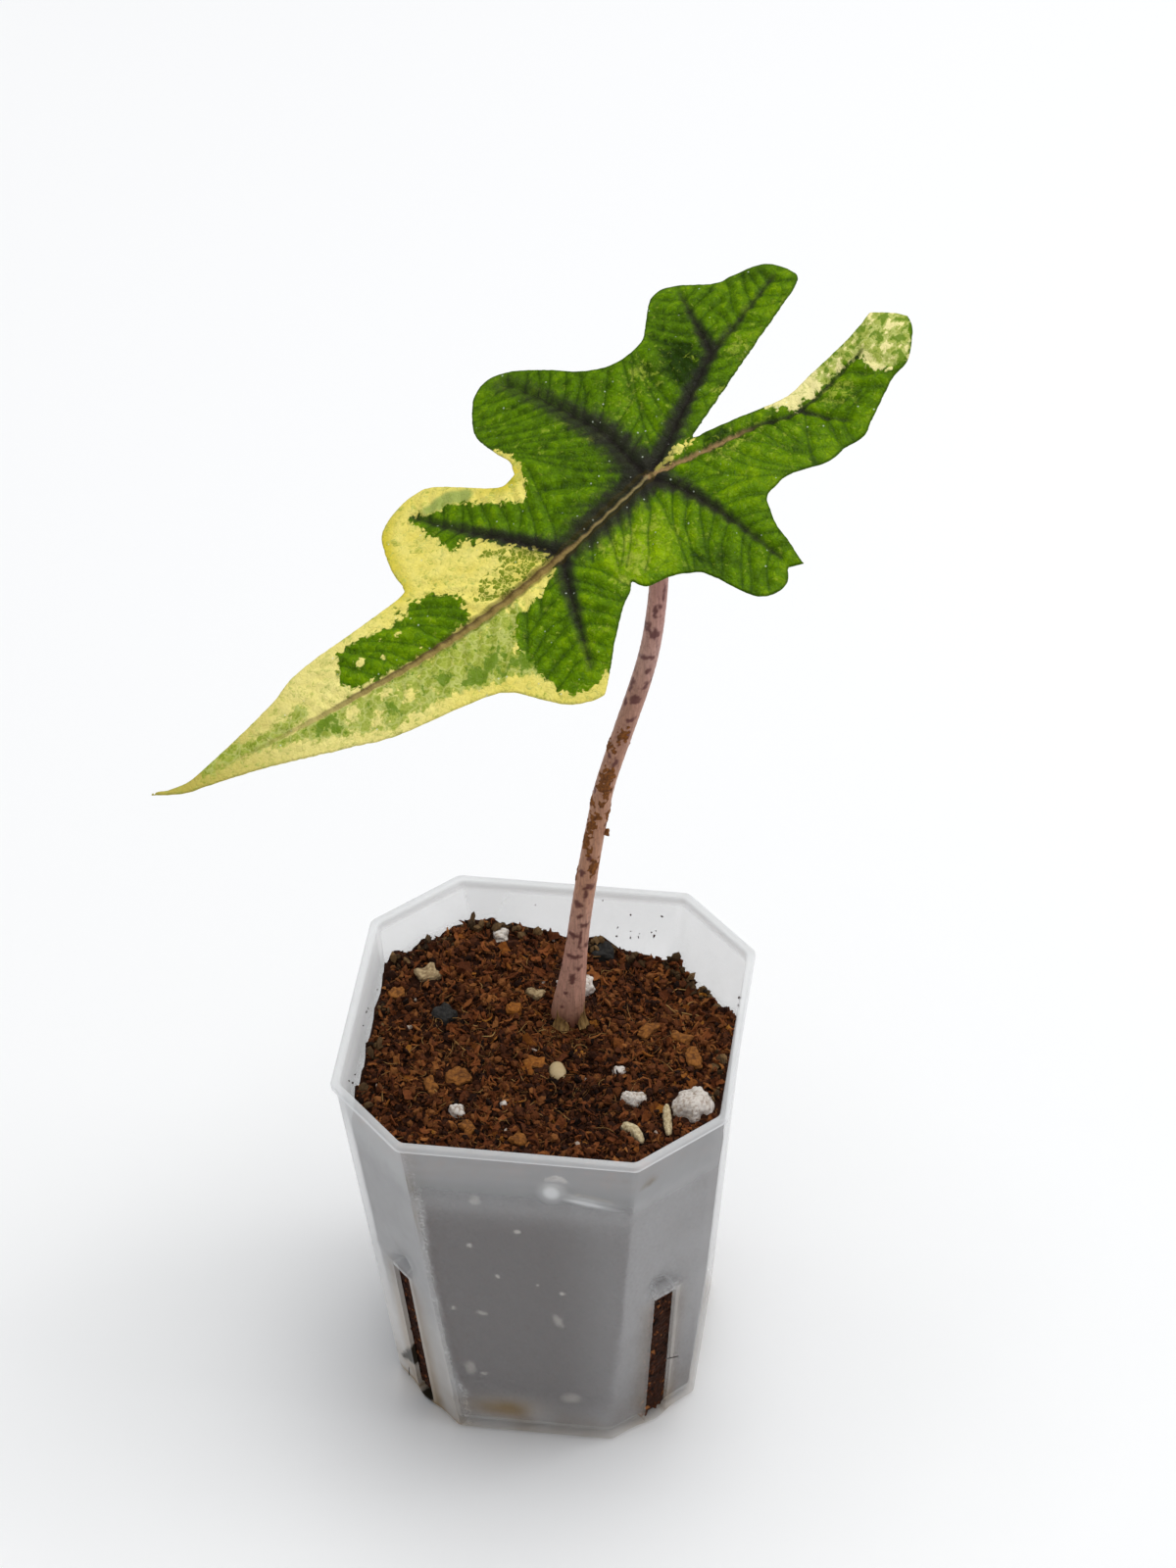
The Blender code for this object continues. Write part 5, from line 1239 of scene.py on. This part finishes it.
def placePieces(name, templates, place, size, tones, draw, material, tilt=2.0):
    # copies of the templates, each turned, scaled and put in its place
    shapes, faces = templates
    shape = shapes[draw.integers(0, len(shapes), len(place))]
    turned = np.einsum("nij,nkj->nki", turnMatrices(len(place), draw, tilt), shape)
    points = turned * (size / 2)[:, None, None] + place[:, None]
    corners = shape.shape[1]
    newPiece(name, points.reshape(-1, 3), repeated(faces, len(place), corners), material,
             fields={"tone": np.repeat(np.clip(tones, 0, 1), corners)}, smooth=False)
    print(name + ":", len(place), "pieces")


def strew(name, templates, count, sizes, tilt, tone, seed, material, sink=0.0):
    # random places inside the wall and clear of the grains; many small pieces and few large ones
    draw = np.random.default_rng(seed)
    places = draw.uniform(-mix["reach"], mix["reach"], (2, count * 3)).T
    size = sizes[0] + (sizes[1] - sizes[0]) * draw.uniform(0, 1, count * 3) ** 2.0
    free = wallRoom(*places.T) > 0.42 * size
    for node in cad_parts:
        if node.split("_")[0] in grainKinds:
            middle, axes, half = grainFrame(node)
            local = (places - middle[:2]) @ axes[:2, :2].T
            free &= np.linalg.norm(local / (half[:2] + 0.22 * size[:, None]), axis=1) > 1
    for route, _ in rootEnds.values():
        free &= nearestOnPath(places, np.array(route)[:, :2])[0] > 0.7 + 0.2 * size
    pick = np.nonzero(free)[0][:count]
    places, size = places[pick], size[pick]
    # each piece's tone takes the mix's painted light and shade
    tones = draw.normal(*tone, len(pick)) + spotSum(places, mixLightAndShade) + 0.10 * waveNoise(places, 9.0, 25)
    z = crumbHeight(*places.T) + size * (draw.uniform(0, 0.42, len(pick)) - sink)
    placePieces(name, templates(48, draw), np.column_stack([places, z]), size, tones, draw, material, tilt)


def buildSlotCrumbs(material):
    # crumbs that show in the four slots, pressed flat behind the wall
    draw = np.random.default_rng(mix["seed"] + 50)
    angle = np.radians(45 + 90 * np.repeat(np.arange(4), mix["slotCrumbs"]))
    z = draw.uniform(2.0, 36.0, len(angle))
    across = draw.uniform(-2.7, 2.7, len(angle))
    size = 0.7 + 1.9 * draw.uniform(0, 1, len(angle)) ** 2
    swell = pot["swell"] * (1 - z / pot["ledge"]) * bell(across / pot["reach"])
    place = onSide(angle, potSection(z)[1] + swell - pot["wall"] - mix["gap"] - size * 0.22, across, z)
    tones = draw.normal(0.36, 0.28, len(angle)) + 0.15 * waveNoise(place, 5.0, 26)
    placePieces("slot_crumbs", crumbTemplates(48, draw), place, size, tones, draw, material)


def buildWallClods(material):
    # lumps of greyed mix heaped against the wall, along the back and the sides
    draw = np.random.default_rng(mix["seed"] + 60)
    clods = np.array(wallClods)
    around = clods[draw.integers(0, len(clods), mix["clodCount"])]
    x, y = (around[:, :2] + draw.normal(0, 1.7, (len(around), 2))).T
    size = draw.uniform(1.0, 2.7, len(around))
    room = wallRoom(x, y)
    keep = (room > 0.42 * size) & (room < 3.0)
    x, y, size = x[keep], y[keep], size[keep]
    place = np.stack([x, y, crumbHeight(x, y) + size * draw.uniform(0.0, 0.55, len(x))], axis=1)
    tones = draw.normal(0.5, 0.25, len(x))
    placePieces("wall_clods", crumbTemplates(24, draw), place, size, tones, draw, material)


def buildWhiteSpecks(material):
    # perlite crumbs under 2 mm, one at each drawn place
    draw = np.random.default_rng(81)
    x, y = np.array(whiteSpecks).T
    size = draw.uniform(0.7, 1.7, len(x))
    place = np.stack([x, y, crumbHeight(x, y) + size * 0.3], axis=1)
    placePieces("perlite_crumbs", crumbTemplates(16, draw), place, size, np.ones(len(x)), draw, material)


def buildWallBits(material):
    # dark specks on the inside of the back wall, and a few seeded ones on the left and right walls
    draw = np.random.default_rng(82)
    extra = mix["sideSpecks"]
    across, z = np.array(backWallBits).T
    across = np.concatenate([across, draw.uniform(-15, 15, extra)])
    z = np.concatenate([z, 71.5 + 6 * draw.uniform(0, 1, extra) ** 2])
    angle = np.radians(np.concatenate([np.full(len(backWallBits), 90), draw.choice([0, 180], extra)]))
    place = onSide(angle, potSection(z)[0] - pot["wall"] - 0.12, across, z)
    size = draw.uniform(0.35, 0.75, len(z))
    placePieces("wall_specks", crumbTemplates(16, draw), place, size, np.full(len(z), 0.2), draw, material)


def strandTubes(name, line, radius, tones, material):
    # three-sided tubes along many lines of the same number of points, pinched at both ends
    count, knots, _ = line.shape
    course = np.gradient(line, axis=1)
    course /= np.linalg.norm(course, axis=2, keepdims=True)
    normal = np.cross(course, np.array([0.0, 0.0, 1.0]))
    normal /= np.maximum(np.linalg.norm(normal, axis=2, keepdims=True), 1e-6)
    angle = np.radians([0, 120, 240])[None, None, :, None]
    ring = normal[:, :, None] * np.cos(angle) + np.cross(course, normal)[:, :, None] * np.sin(angle)
    taper = 1 - 0.6 * np.abs(np.linspace(-1, 1, knots)) ** 3
    points = line[:, :, None] + ring * (radius[:, None] * taper)[:, :, None, None]
    caps = np.array([(2, 1, 0), (knots * 3 - 3, knots * 3 - 2, knots * 3 - 1)])
    every = repeated((gridFaces(knots, 3, wrap=True), caps), count, knots * 3)
    newPiece(name, points.reshape(-1, 3), every, material,
             fields={"tone": np.repeat(np.clip(tones, 0, 1), knots * 3)})
    print(name + ":", count, "strands")


def buildStrands(name, count, lengths, thickness, seed, material, tone, middle=(0, 0), spread=17, drawn=()):
    # loose coir strands: bent lines that lie on the mix, the drawn ones between their ends
    draw = np.random.default_rng(seed)
    knots = 8
    start = np.stack([draw.normal(middle[axis], spread, count * 3) for axis in (0, 1)])
    length = draw.uniform(*lengths, count * 3)
    heading = draw.uniform(0, 2 * math.pi, count * 3)
    share = np.linspace(-0.5, 0.5, knots)[None]
    course = heading[:, None] + draw.normal(0, 0.9, count * 3)[:, None] * share * 2
    step = np.stack([np.cos(course), np.sin(course)]) * (length / knots)[:, None]
    line = start[..., None] + np.cumsum(step, axis=2)
    line = line[:, np.nonzero((wallRoom(*line) > 0.5).all(axis=1))[0][:count]]
    if drawn:
        begin, end = np.array(drawn).reshape(-1, 2, 2).transpose(1, 2, 0)[..., None]
        bow = draw.normal(0, 0.9, (len(drawn), 1)) * (1 - 4 * share**2) * 0.6
        line = np.concatenate([line, begin + (end - begin) * (share + 0.5) + np.stack([bow, -bow])], axis=1)
    number = line.shape[1]
    lift = draw.uniform(0.2, 0.9, number)[:, None] + draw.normal(0, 0.5, number)[:, None] * share
    line = np.stack([*line, crumbHeight(*line) * 0.5 + mixHeight(*line) * 0.5 + lift], axis=-1)
    radius = draw.uniform(*thickness, number)
    tones = draw.normal(*tone, number)
    if drawn:
        radius[-len(drawn):], tones[-len(drawn):] = thickness[1] * 1.25, 0.75
    strandTubes(name, line, radius, tones, material)


def buildSlotThread(material):
    # a thread that hangs out of the front right slot, and a bristle at the front left corner's foot
    share = np.linspace(0, 1, 8)
    outward = potSection(16.5)[1] + 0.75 + 0.25 * np.sin(share * 3)
    thread = onSide(math.radians(315), outward, 1.4 + 2.8 * share, 17.3 - 1.2 * share**2)
    outward = potSection(5.0)[1] + 0.6 + 0.4 * share
    bristle = onSide(math.radians(225), outward, -4.5 + 0.6 * share, 5.0 - 1.6 * share)
    radius, tones = np.array([[0.11, 0.09], [0.0, 0.1]])
    strandTubes("slot_threads", np.stack([thread, bristle]), radius, tones, material)


def coirMaterial(name, colours):
    # coir pith and milled bark: dull, fibrous crumbs from near black to fox brown
    material, add, inMm, read = newMaterial(name, ["tone"])
    speck = add("TexNoise", Vector=inMm, Scale=1.8, Detail=4.0, Roughness=0.7)
    level = add("Math ADD", read["tone"], add("Math MULTIPLY_ADD", speck, 0.7, -0.35), use_clamp=True)
    stops = list(zip(np.linspace(0, 1, len(colours)).tolist(), colours))
    return finish(material, add("ValToRGB", level, stops=stops), 0.92, speck, 0.7, 0.25, gloss=0.2)


def bedMaterial():
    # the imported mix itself: dark, damp and fine-grained, with pale bits where it lies on the front wall
    material, add, inMm, read = newMaterial("coir mix packed", ["front"])
    grain = add("TexVoronoi", Vector=inMm, Scale=0.9)
    grit = add("TexNoise", Vector=inMm, Scale=1.1, Detail=4.0, Roughness=0.7)
    ripple = add("VectorMath MULTIPLY_ADD", grit.outputs["Color"], (1.6, 0, 1.6), inMm)
    ripple = add("VectorMath ADD", ripple, (-0.8, 0, -0.8))
    pale = paintedBits(add, ripple, wallBits, read["front"])
    colour = add("Mix", pale, add("Mix", grit, "#140a06", "#432313"), "#d8d0c4")
    return finish(material, colour, 0.95, grain, 0.8, 0.5, gloss=0.15)


# Grains and chips that the CAD places one by one

def nodePoints(name):
    # the corners of a CAD node's mesh, in mm
    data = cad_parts[name].data
    points = np.zeros(len(data.vertices) * 3)
    data.vertices.foreach_get("co", points)
    return points.reshape(-1, 3) / mm


def grainFrame(name):
    # the node's middle, its level directions by size, and its half sizes along them
    points = nodePoints(name)
    middle = (points.min(axis=0) + points.max(axis=0)) / 2
    _, vectors = np.linalg.eigh(np.cov((points[:, :2] - middle[:2]).T))
    axes = np.eye(3)
    axes[0, :2], axes[1, :2] = vectors[:, 1], vectors[:, 0]
    axes[1] *= np.sign(np.linalg.det(axes))
    local = (points - middle) @ axes.T
    return middle, axes, np.abs(local).max(axis=0)


def ballPoints(rows, columns):
    # directions on a ball: rings of latitude, with single points at the poles
    latitude = np.linspace(-math.pi / 2, math.pi / 2, rows + 2)[1:-1]
    turn = np.linspace(0, 2 * math.pi, columns, endpoint=False)
    level, around = np.meshgrid(latitude, turn, indexing="ij")
    body = np.stack([np.cos(level) * np.cos(around), np.cos(level) * np.sin(around), np.sin(level)], axis=-1)
    return (np.vstack([body.reshape(-1, 3), [[0, 0, -1]], [[0, 0, 1]]]),
            [gridFaces(rows, columns, wrap=True), endFans(rows, columns)])


grainKinds = {
    # lumps and pits with their sizes, squareness (1 is round), and points from pole to pole and around
    "perlite": dict(lump=0.20, lumpSize=1.3, pit=0.08, pitSize=0.6, square=1.0, detail=(34, 48),
                    slot="perlite"),
    "bark": dict(lump=0.27, lumpSize=1.5, pit=0.07, pitSize=0.5, square=0.6, detail=(26, 38), slot="bark"),
    "charcoal": dict(lump=0.18, lumpSize=1.3, pit=0.10, pitSize=0.5, square=0.55, detail=(26, 38),
                     slot="charcoal"),
    "pale": dict(lump=0.02, lumpSize=1.2, pit=0.012, pitSize=0.3, square=1.0, detail=(28, 44), slot="seed"),
}


def buildGrain(node, kind, material, seed):
    # a ball stretched to the node's size: squared by a power below one, lumped by broad waves and
    # pitted where fine waves cross zero
    middle, axes, half = grainFrame(node)
    directions, faces = ballPoints(*kind["detail"])
    body = np.sign(directions) * np.abs(directions) ** kind["square"] * half
    radius = 1 + kind["lump"] * waveNoise(body, kind["lumpSize"] * half.mean() * 0.8, seed)
    ridge = np.abs(waveNoise(body, kind["pitSize"] * 2, seed + 1))
    local = body * (radius + kind["pit"] * (ridge * 1.6 - 0.5))[:, None]
    local *= half / np.abs(local).max(axis=0)
    newPiece(node + "_grain", local @ axes + middle, faces, material, [node],
             {"pit": np.clip(ridge * 1.5, 0, 1)})


def perliteMaterial():
    # expanded perlite: chalk white foam glass, matt, with brown dust held in its pits
    material, add, inMm, read = newMaterial("perlite expanded", ["pit"])
    dust = add("TexNoise", Vector=inMm, Scale=1.3, Detail=4.0, Roughness=0.7)
    mask = add("MapRange", add("Math MULTIPLY_ADD", read["pit"], -0.35, dust), 0.30, 0.52, 0.0, 0.7)
    colour = add("Mix", mask, add("Mix", dust, "#e4dbd2", "#f2e9e0"), "#94785f")
    return finish(material, colour, 0.9, dust, 0.6, 0.2)


grainedKinds = {
    # composted pine bark and charcoal: dry layered flakes, darker in the cracks
    "layered": dict(stretch=(0.6, 1.1, 2.4), pit=0.4, low=0.35, roughness=0.85, strength=0.7, depth=0.25,
                    gloss=0.3),
    # dry plant skin: papery, dull, drawn into fine lengthwise lines
    "papery": dict(stretch=(3.0, 3.0, 0.5), pit=0.35, low=0.4, roughness=0.75, strength=0.5, depth=0.12,
                   gloss=0.5),
}


def grainedMaterial(kind, name, dark, light):
    # two tones by a noise that is stretched along the grain and lifted by the mesh's own pits
    look = grainedKinds[kind]
    material, add, inMm, read = newMaterial(name, ["pit"])
    along = add("VectorMath MULTIPLY", inMm, look["stretch"])
    grain = add("TexNoise", Vector=along, Scale=1.0, Detail=4.0, Roughness=0.65)
    mask = add("MapRange", add("Math MULTIPLY_ADD", read["pit"], look["pit"], grain), look["low"], 0.85)
    return finish(material, add("Mix", mask, dark, light), look["roughness"], grain, look["strength"],
                  look["depth"], gloss=look["gloss"])


def seedMaterial():
    # smooth pale seed: a thin dry skin, satin, warm cream mottled with a darker cream
    material, add, inMm, _ = newMaterial("seed coat dry")
    speck = add("TexNoise", Vector=inMm, Scale=1.6, Detail=4.0, Roughness=0.7)
    return finish(material, add("Mix", speck, "#bd9f70", "#dcc69a"), 0.5, speck, 0.2, 0.1)


# Root ends and dry scale leaves

rootEnds = {  # points of the centre line above the mix, and radii
    "root_end_left": (((15.4, -15.2, 0.4), (17.6, -16.2, 0.6), (19.6, -18.8, 0.1)), (0.95, 1.0, 0.6)),
    "root_end_right": (((22.6, -9.4, 1.2), (23.1, -12.6, 0.7), (23.9, -16.6, 0.5)), (0.5, 0.75, 0.55)),
    "root_at_front_wall": (((8.9, -31.8, -0.9), (13.0, -31.8, -1.5), (16.4, -31.7, -2.0)), (0.5, 0.5, 0.45)),
}


def buildRootEnd(node, material, seed):
    # a tube along a bent line; wrinkles and knots move its skin in and out
    step, sides = 0.12, 28
    route = [(x, y, float(mixHeight(x, y)) + up, radius) for (x, y, up), radius in zip(*rootEnds[node])]
    line = smoothPath(route, step)
    angle = np.linspace(0, 2 * math.pi, sides, endpoint=False)
    share, turn = np.meshgrid(np.linspace(0, 1, len(line)), angle, indexing="ij")
    skin = np.stack([np.cos(turn), np.sin(turn), share * len(line) * step], axis=-1).reshape(-1, 3)
    wrinkle = waveNoise(skin, 1.0, seed) * 0.13 + waveNoise(skin, 0.45, seed + 1) * 0.07
    wrinkle = wrinkle.reshape(share.shape)
    ends = np.sqrt(np.clip(1 - np.abs(2 * share - 1) ** 8, 0.03, 1))
    points, faces = tubeAlong(line[:, :3], line[:, 3:] * (1 + wrinkle) * ends, sides)
    low, high = (np.array(corner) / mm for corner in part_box(node))
    newPiece(node + "_skin", np.clip(points, low, high), faces, material, [node],
             {"pit": np.append((wrinkle.ravel() + 0.2) * 2.5, [0.5, 0.5])})


scaleLeaves = {  # compass angle round the petiole's foot, width, and where across it the point stands
    "scale_leaf_front": (262, 3.2, -0.55),
    "scale_leaf_right": (320, 2.2, 0.55),
}


def buildScaleLeaf(node, material, seed):
    # a thin sheet wrapped round the foot: a low collar with a notched edge, bent out, and one narrow point
    compass, width, pointSide = scaleLeaves[node]
    footX, footY, _, footRadius = petiole["line"][1]
    low, high = (np.array(corner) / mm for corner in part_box(node))
    rows, columns = 26, 15
    share, across = np.meshgrid(np.linspace(0, 1, rows), np.linspace(-1, 1, columns), indexing="ij")
    torn = 0.60 - 0.12 * np.abs(across) - 0.14 * np.abs(np.sin(across * 7.5 + seed))
    torn += 0.4 * bell((across - pointSide) / 0.17)
    radius = footRadius + 0.9 + 0.9 * (1 - share) ** 2 + 0.35 * share**2
    angle = math.radians(compass) + across * width / 2 * (1 - 0.4 * share**2) / radius
    radius = radius + 0.12 * np.sin(across * 5 + share * 4 + seed)
    z = low[2] + (high[2] - low[2]) * share * torn
    skins = [np.stack([footX + reach * np.cos(angle), footY + reach * np.sin(angle), z],
                      axis=-1).reshape(-1, 3) for reach in (radius, radius - 0.16)]
    newPiece(node + "_sheet", np.vstack(skins), [sheetFaces(rows, columns)], material, [node],
             {"pit": np.tile(0.5 + 0.3 * np.sin(across * 12).ravel(), 2)})


# Floor, light

def buildStage():
    # a pale matt sheet under the pot, and a broad soft light from above and in front
    half, below = light["floorHalf"], -0.0002
    mesh = bpy.data.meshes.new("floor_sheet")
    mesh.from_pydata([(-half, -half, below), (half, -half, below), (half, half, below), (-half, half, below)],
                     [], [(0, 1, 2, 3)])
    floor = bpy.data.objects.new("floor_sheet", mesh)
    bpy.context.scene.collection.objects.link(floor)
    material, add, inMm, _ = newMaterial("white studio paper")
    grain = add("TexNoise", Vector=inMm, Scale=0.003, Detail=2.0)
    mesh.materials.append(finish(material, add("Mix", grain, "#f8f8f8", "#fafaf9"), 0.9))
    world = bpy.data.worlds.new("studio")
    world.use_nodes = True
    plug(world.node_tree.nodes["Background"].inputs, ("#f4f6fa", light["world"]))
    bpy.context.scene.world = world
    for name, (place, size, power) in light["panels"].items():
        data = bpy.data.lights.new(name, "AREA")
        data.shape, data.energy = "RECTANGLE", power
        data.size, data.size_y = size
        back = np.array(place) / np.linalg.norm(place)
        right = np.cross([0, 0, 1], back)
        right /= np.linalg.norm(right)
        stand(bpy.data.objects.new(name, data), place, right, np.cross(back, right))


light = dict(
    floorHalf=3.0,  # metres
    world=0.5,
    panels={  # place in metres, size, power in watts
        "key_panel": ((0.2, 0.3, 1.9), (1.3, 1.1), 21.0),
        "fill_panel": ((1.4, 0.2, 1.0), (1.0, 1.0), 5.0),
    },
)


placeCamera()
buildStage()
print("camera, floor and light are placed")
buildLeaf([leafMaterial(), leafMaterial(under=True)])
buildPetiole(petioleMaterial())
buildFlake(grainedMaterial("papery", "petiole skin dead", "#5f3414", "#a86a2c"))
buildPot(potMaterial())
buildBed(bedMaterial())
coirDark = coirMaterial("coir crumbs dark", ("#1a0d07", "#3c1f11", "#6a3a1d", "#935c30"))
coirWarm = coirMaterial("coir fibres fox brown", ("#24120a", "#5c2f17", "#8a4d26", "#ab6d38"))
chips = coirMaterial("pine bark milled", ("#5a2f12", "#8f531f", "#bd7f33"))
seed = mix["seed"]
strew("coir_crumbs_dark", crumbTemplates, mix["crumbCount"], (0.6, 2.4), 2.0, (0.54, 0.26), seed, coirDark,
      sink=0.1)
strew("coir_shreds", shredTemplates, mix["shredCount"], (0.9, 2.7), 0.8, (0.48, 0.26), seed + 1, coirWarm)
strew("coir_flakes", flakeTemplates, mix["flakeCount"], (0.8, 2.4), 0.9, (0.46, 0.25), seed + 2, coirWarm)
buildWallClods(coirMaterial("coir clods greyed", ("#20170e", "#554029", "#8a6c47")))
strew("bark_chips_small", flakeTemplates, mix["chipCount"], (1.2, 2.8), 0.6, (0.45, 0.2), seed + 3, chips)
buildSlotCrumbs(coirDark)
strand = coirMaterial("coir strands", ("#4a2a14", "#8a5e33", "#c49c60"))
buildStrands("coir_strands", mix["strandCount"], (1.5, 5.5), (0.05, 0.12), 61, strand, (0.4, 0.25),
             drawn=longStrands)
buildStrands("foot_strands", mix["footStrandCount"], (1.2, 3.4), (0.05, 0.1), 62, strand, (0.5, 0.22),
             middle=(1.7, 10.3), spread=2.4)
buildSlotThread(coirDark)
buildWallBits(coirDark)
perlite = perliteMaterial()
buildWhiteSpecks(perlite)
layered = partial(grainedMaterial, "layered")
bark = layered("pine bark composted", "#47240e", "#a0652a")
freshBark = layered("pine bark fresh", "#6c3a12", "#ae6b28")
chipBarks = {"cream": layered("inner bark pale", "#6f5436", "#c4ab82"), "orange": freshBark, "tan": freshBark}
others = {"perlite": perlite, "charcoal": layered("charcoal", "#121110", "#383634"), "pale": seedMaterial()}
for number, node in enumerate(sorted(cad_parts)):
    kind = node.split("_")[0]
    if kind in grainKinds:
        named = [chipBarks[word] for word in chipBarks if word in node]
        buildGrain(node, grainKinds[kind], others.get(kind) or (named + [bark])[0], 300 + 7 * number)
dryRoot = grainedMaterial("papery", "root dried", "#94774a", "#ead8ae")
for number, node in enumerate(rootEnds):
    buildRootEnd(node, dryRoot, 500 + number)
dryScale = grainedMaterial("papery", "scale leaf dried", "#4a3017", "#b08a50")
for number, node in enumerate(scaleLeaves):
    buildScaleLeaf(node, dryScale, number + 1.0)
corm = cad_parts["corm_with_roots"]
corm.data.materials.clear()
corm.data.materials.append(grainedMaterial("papery", "corm skin", "#3a2414", "#8a6a45"))
print("grains, roots and scale leaves are placed")
bpy.context.scene.view_settings.view_transform = "Standard"
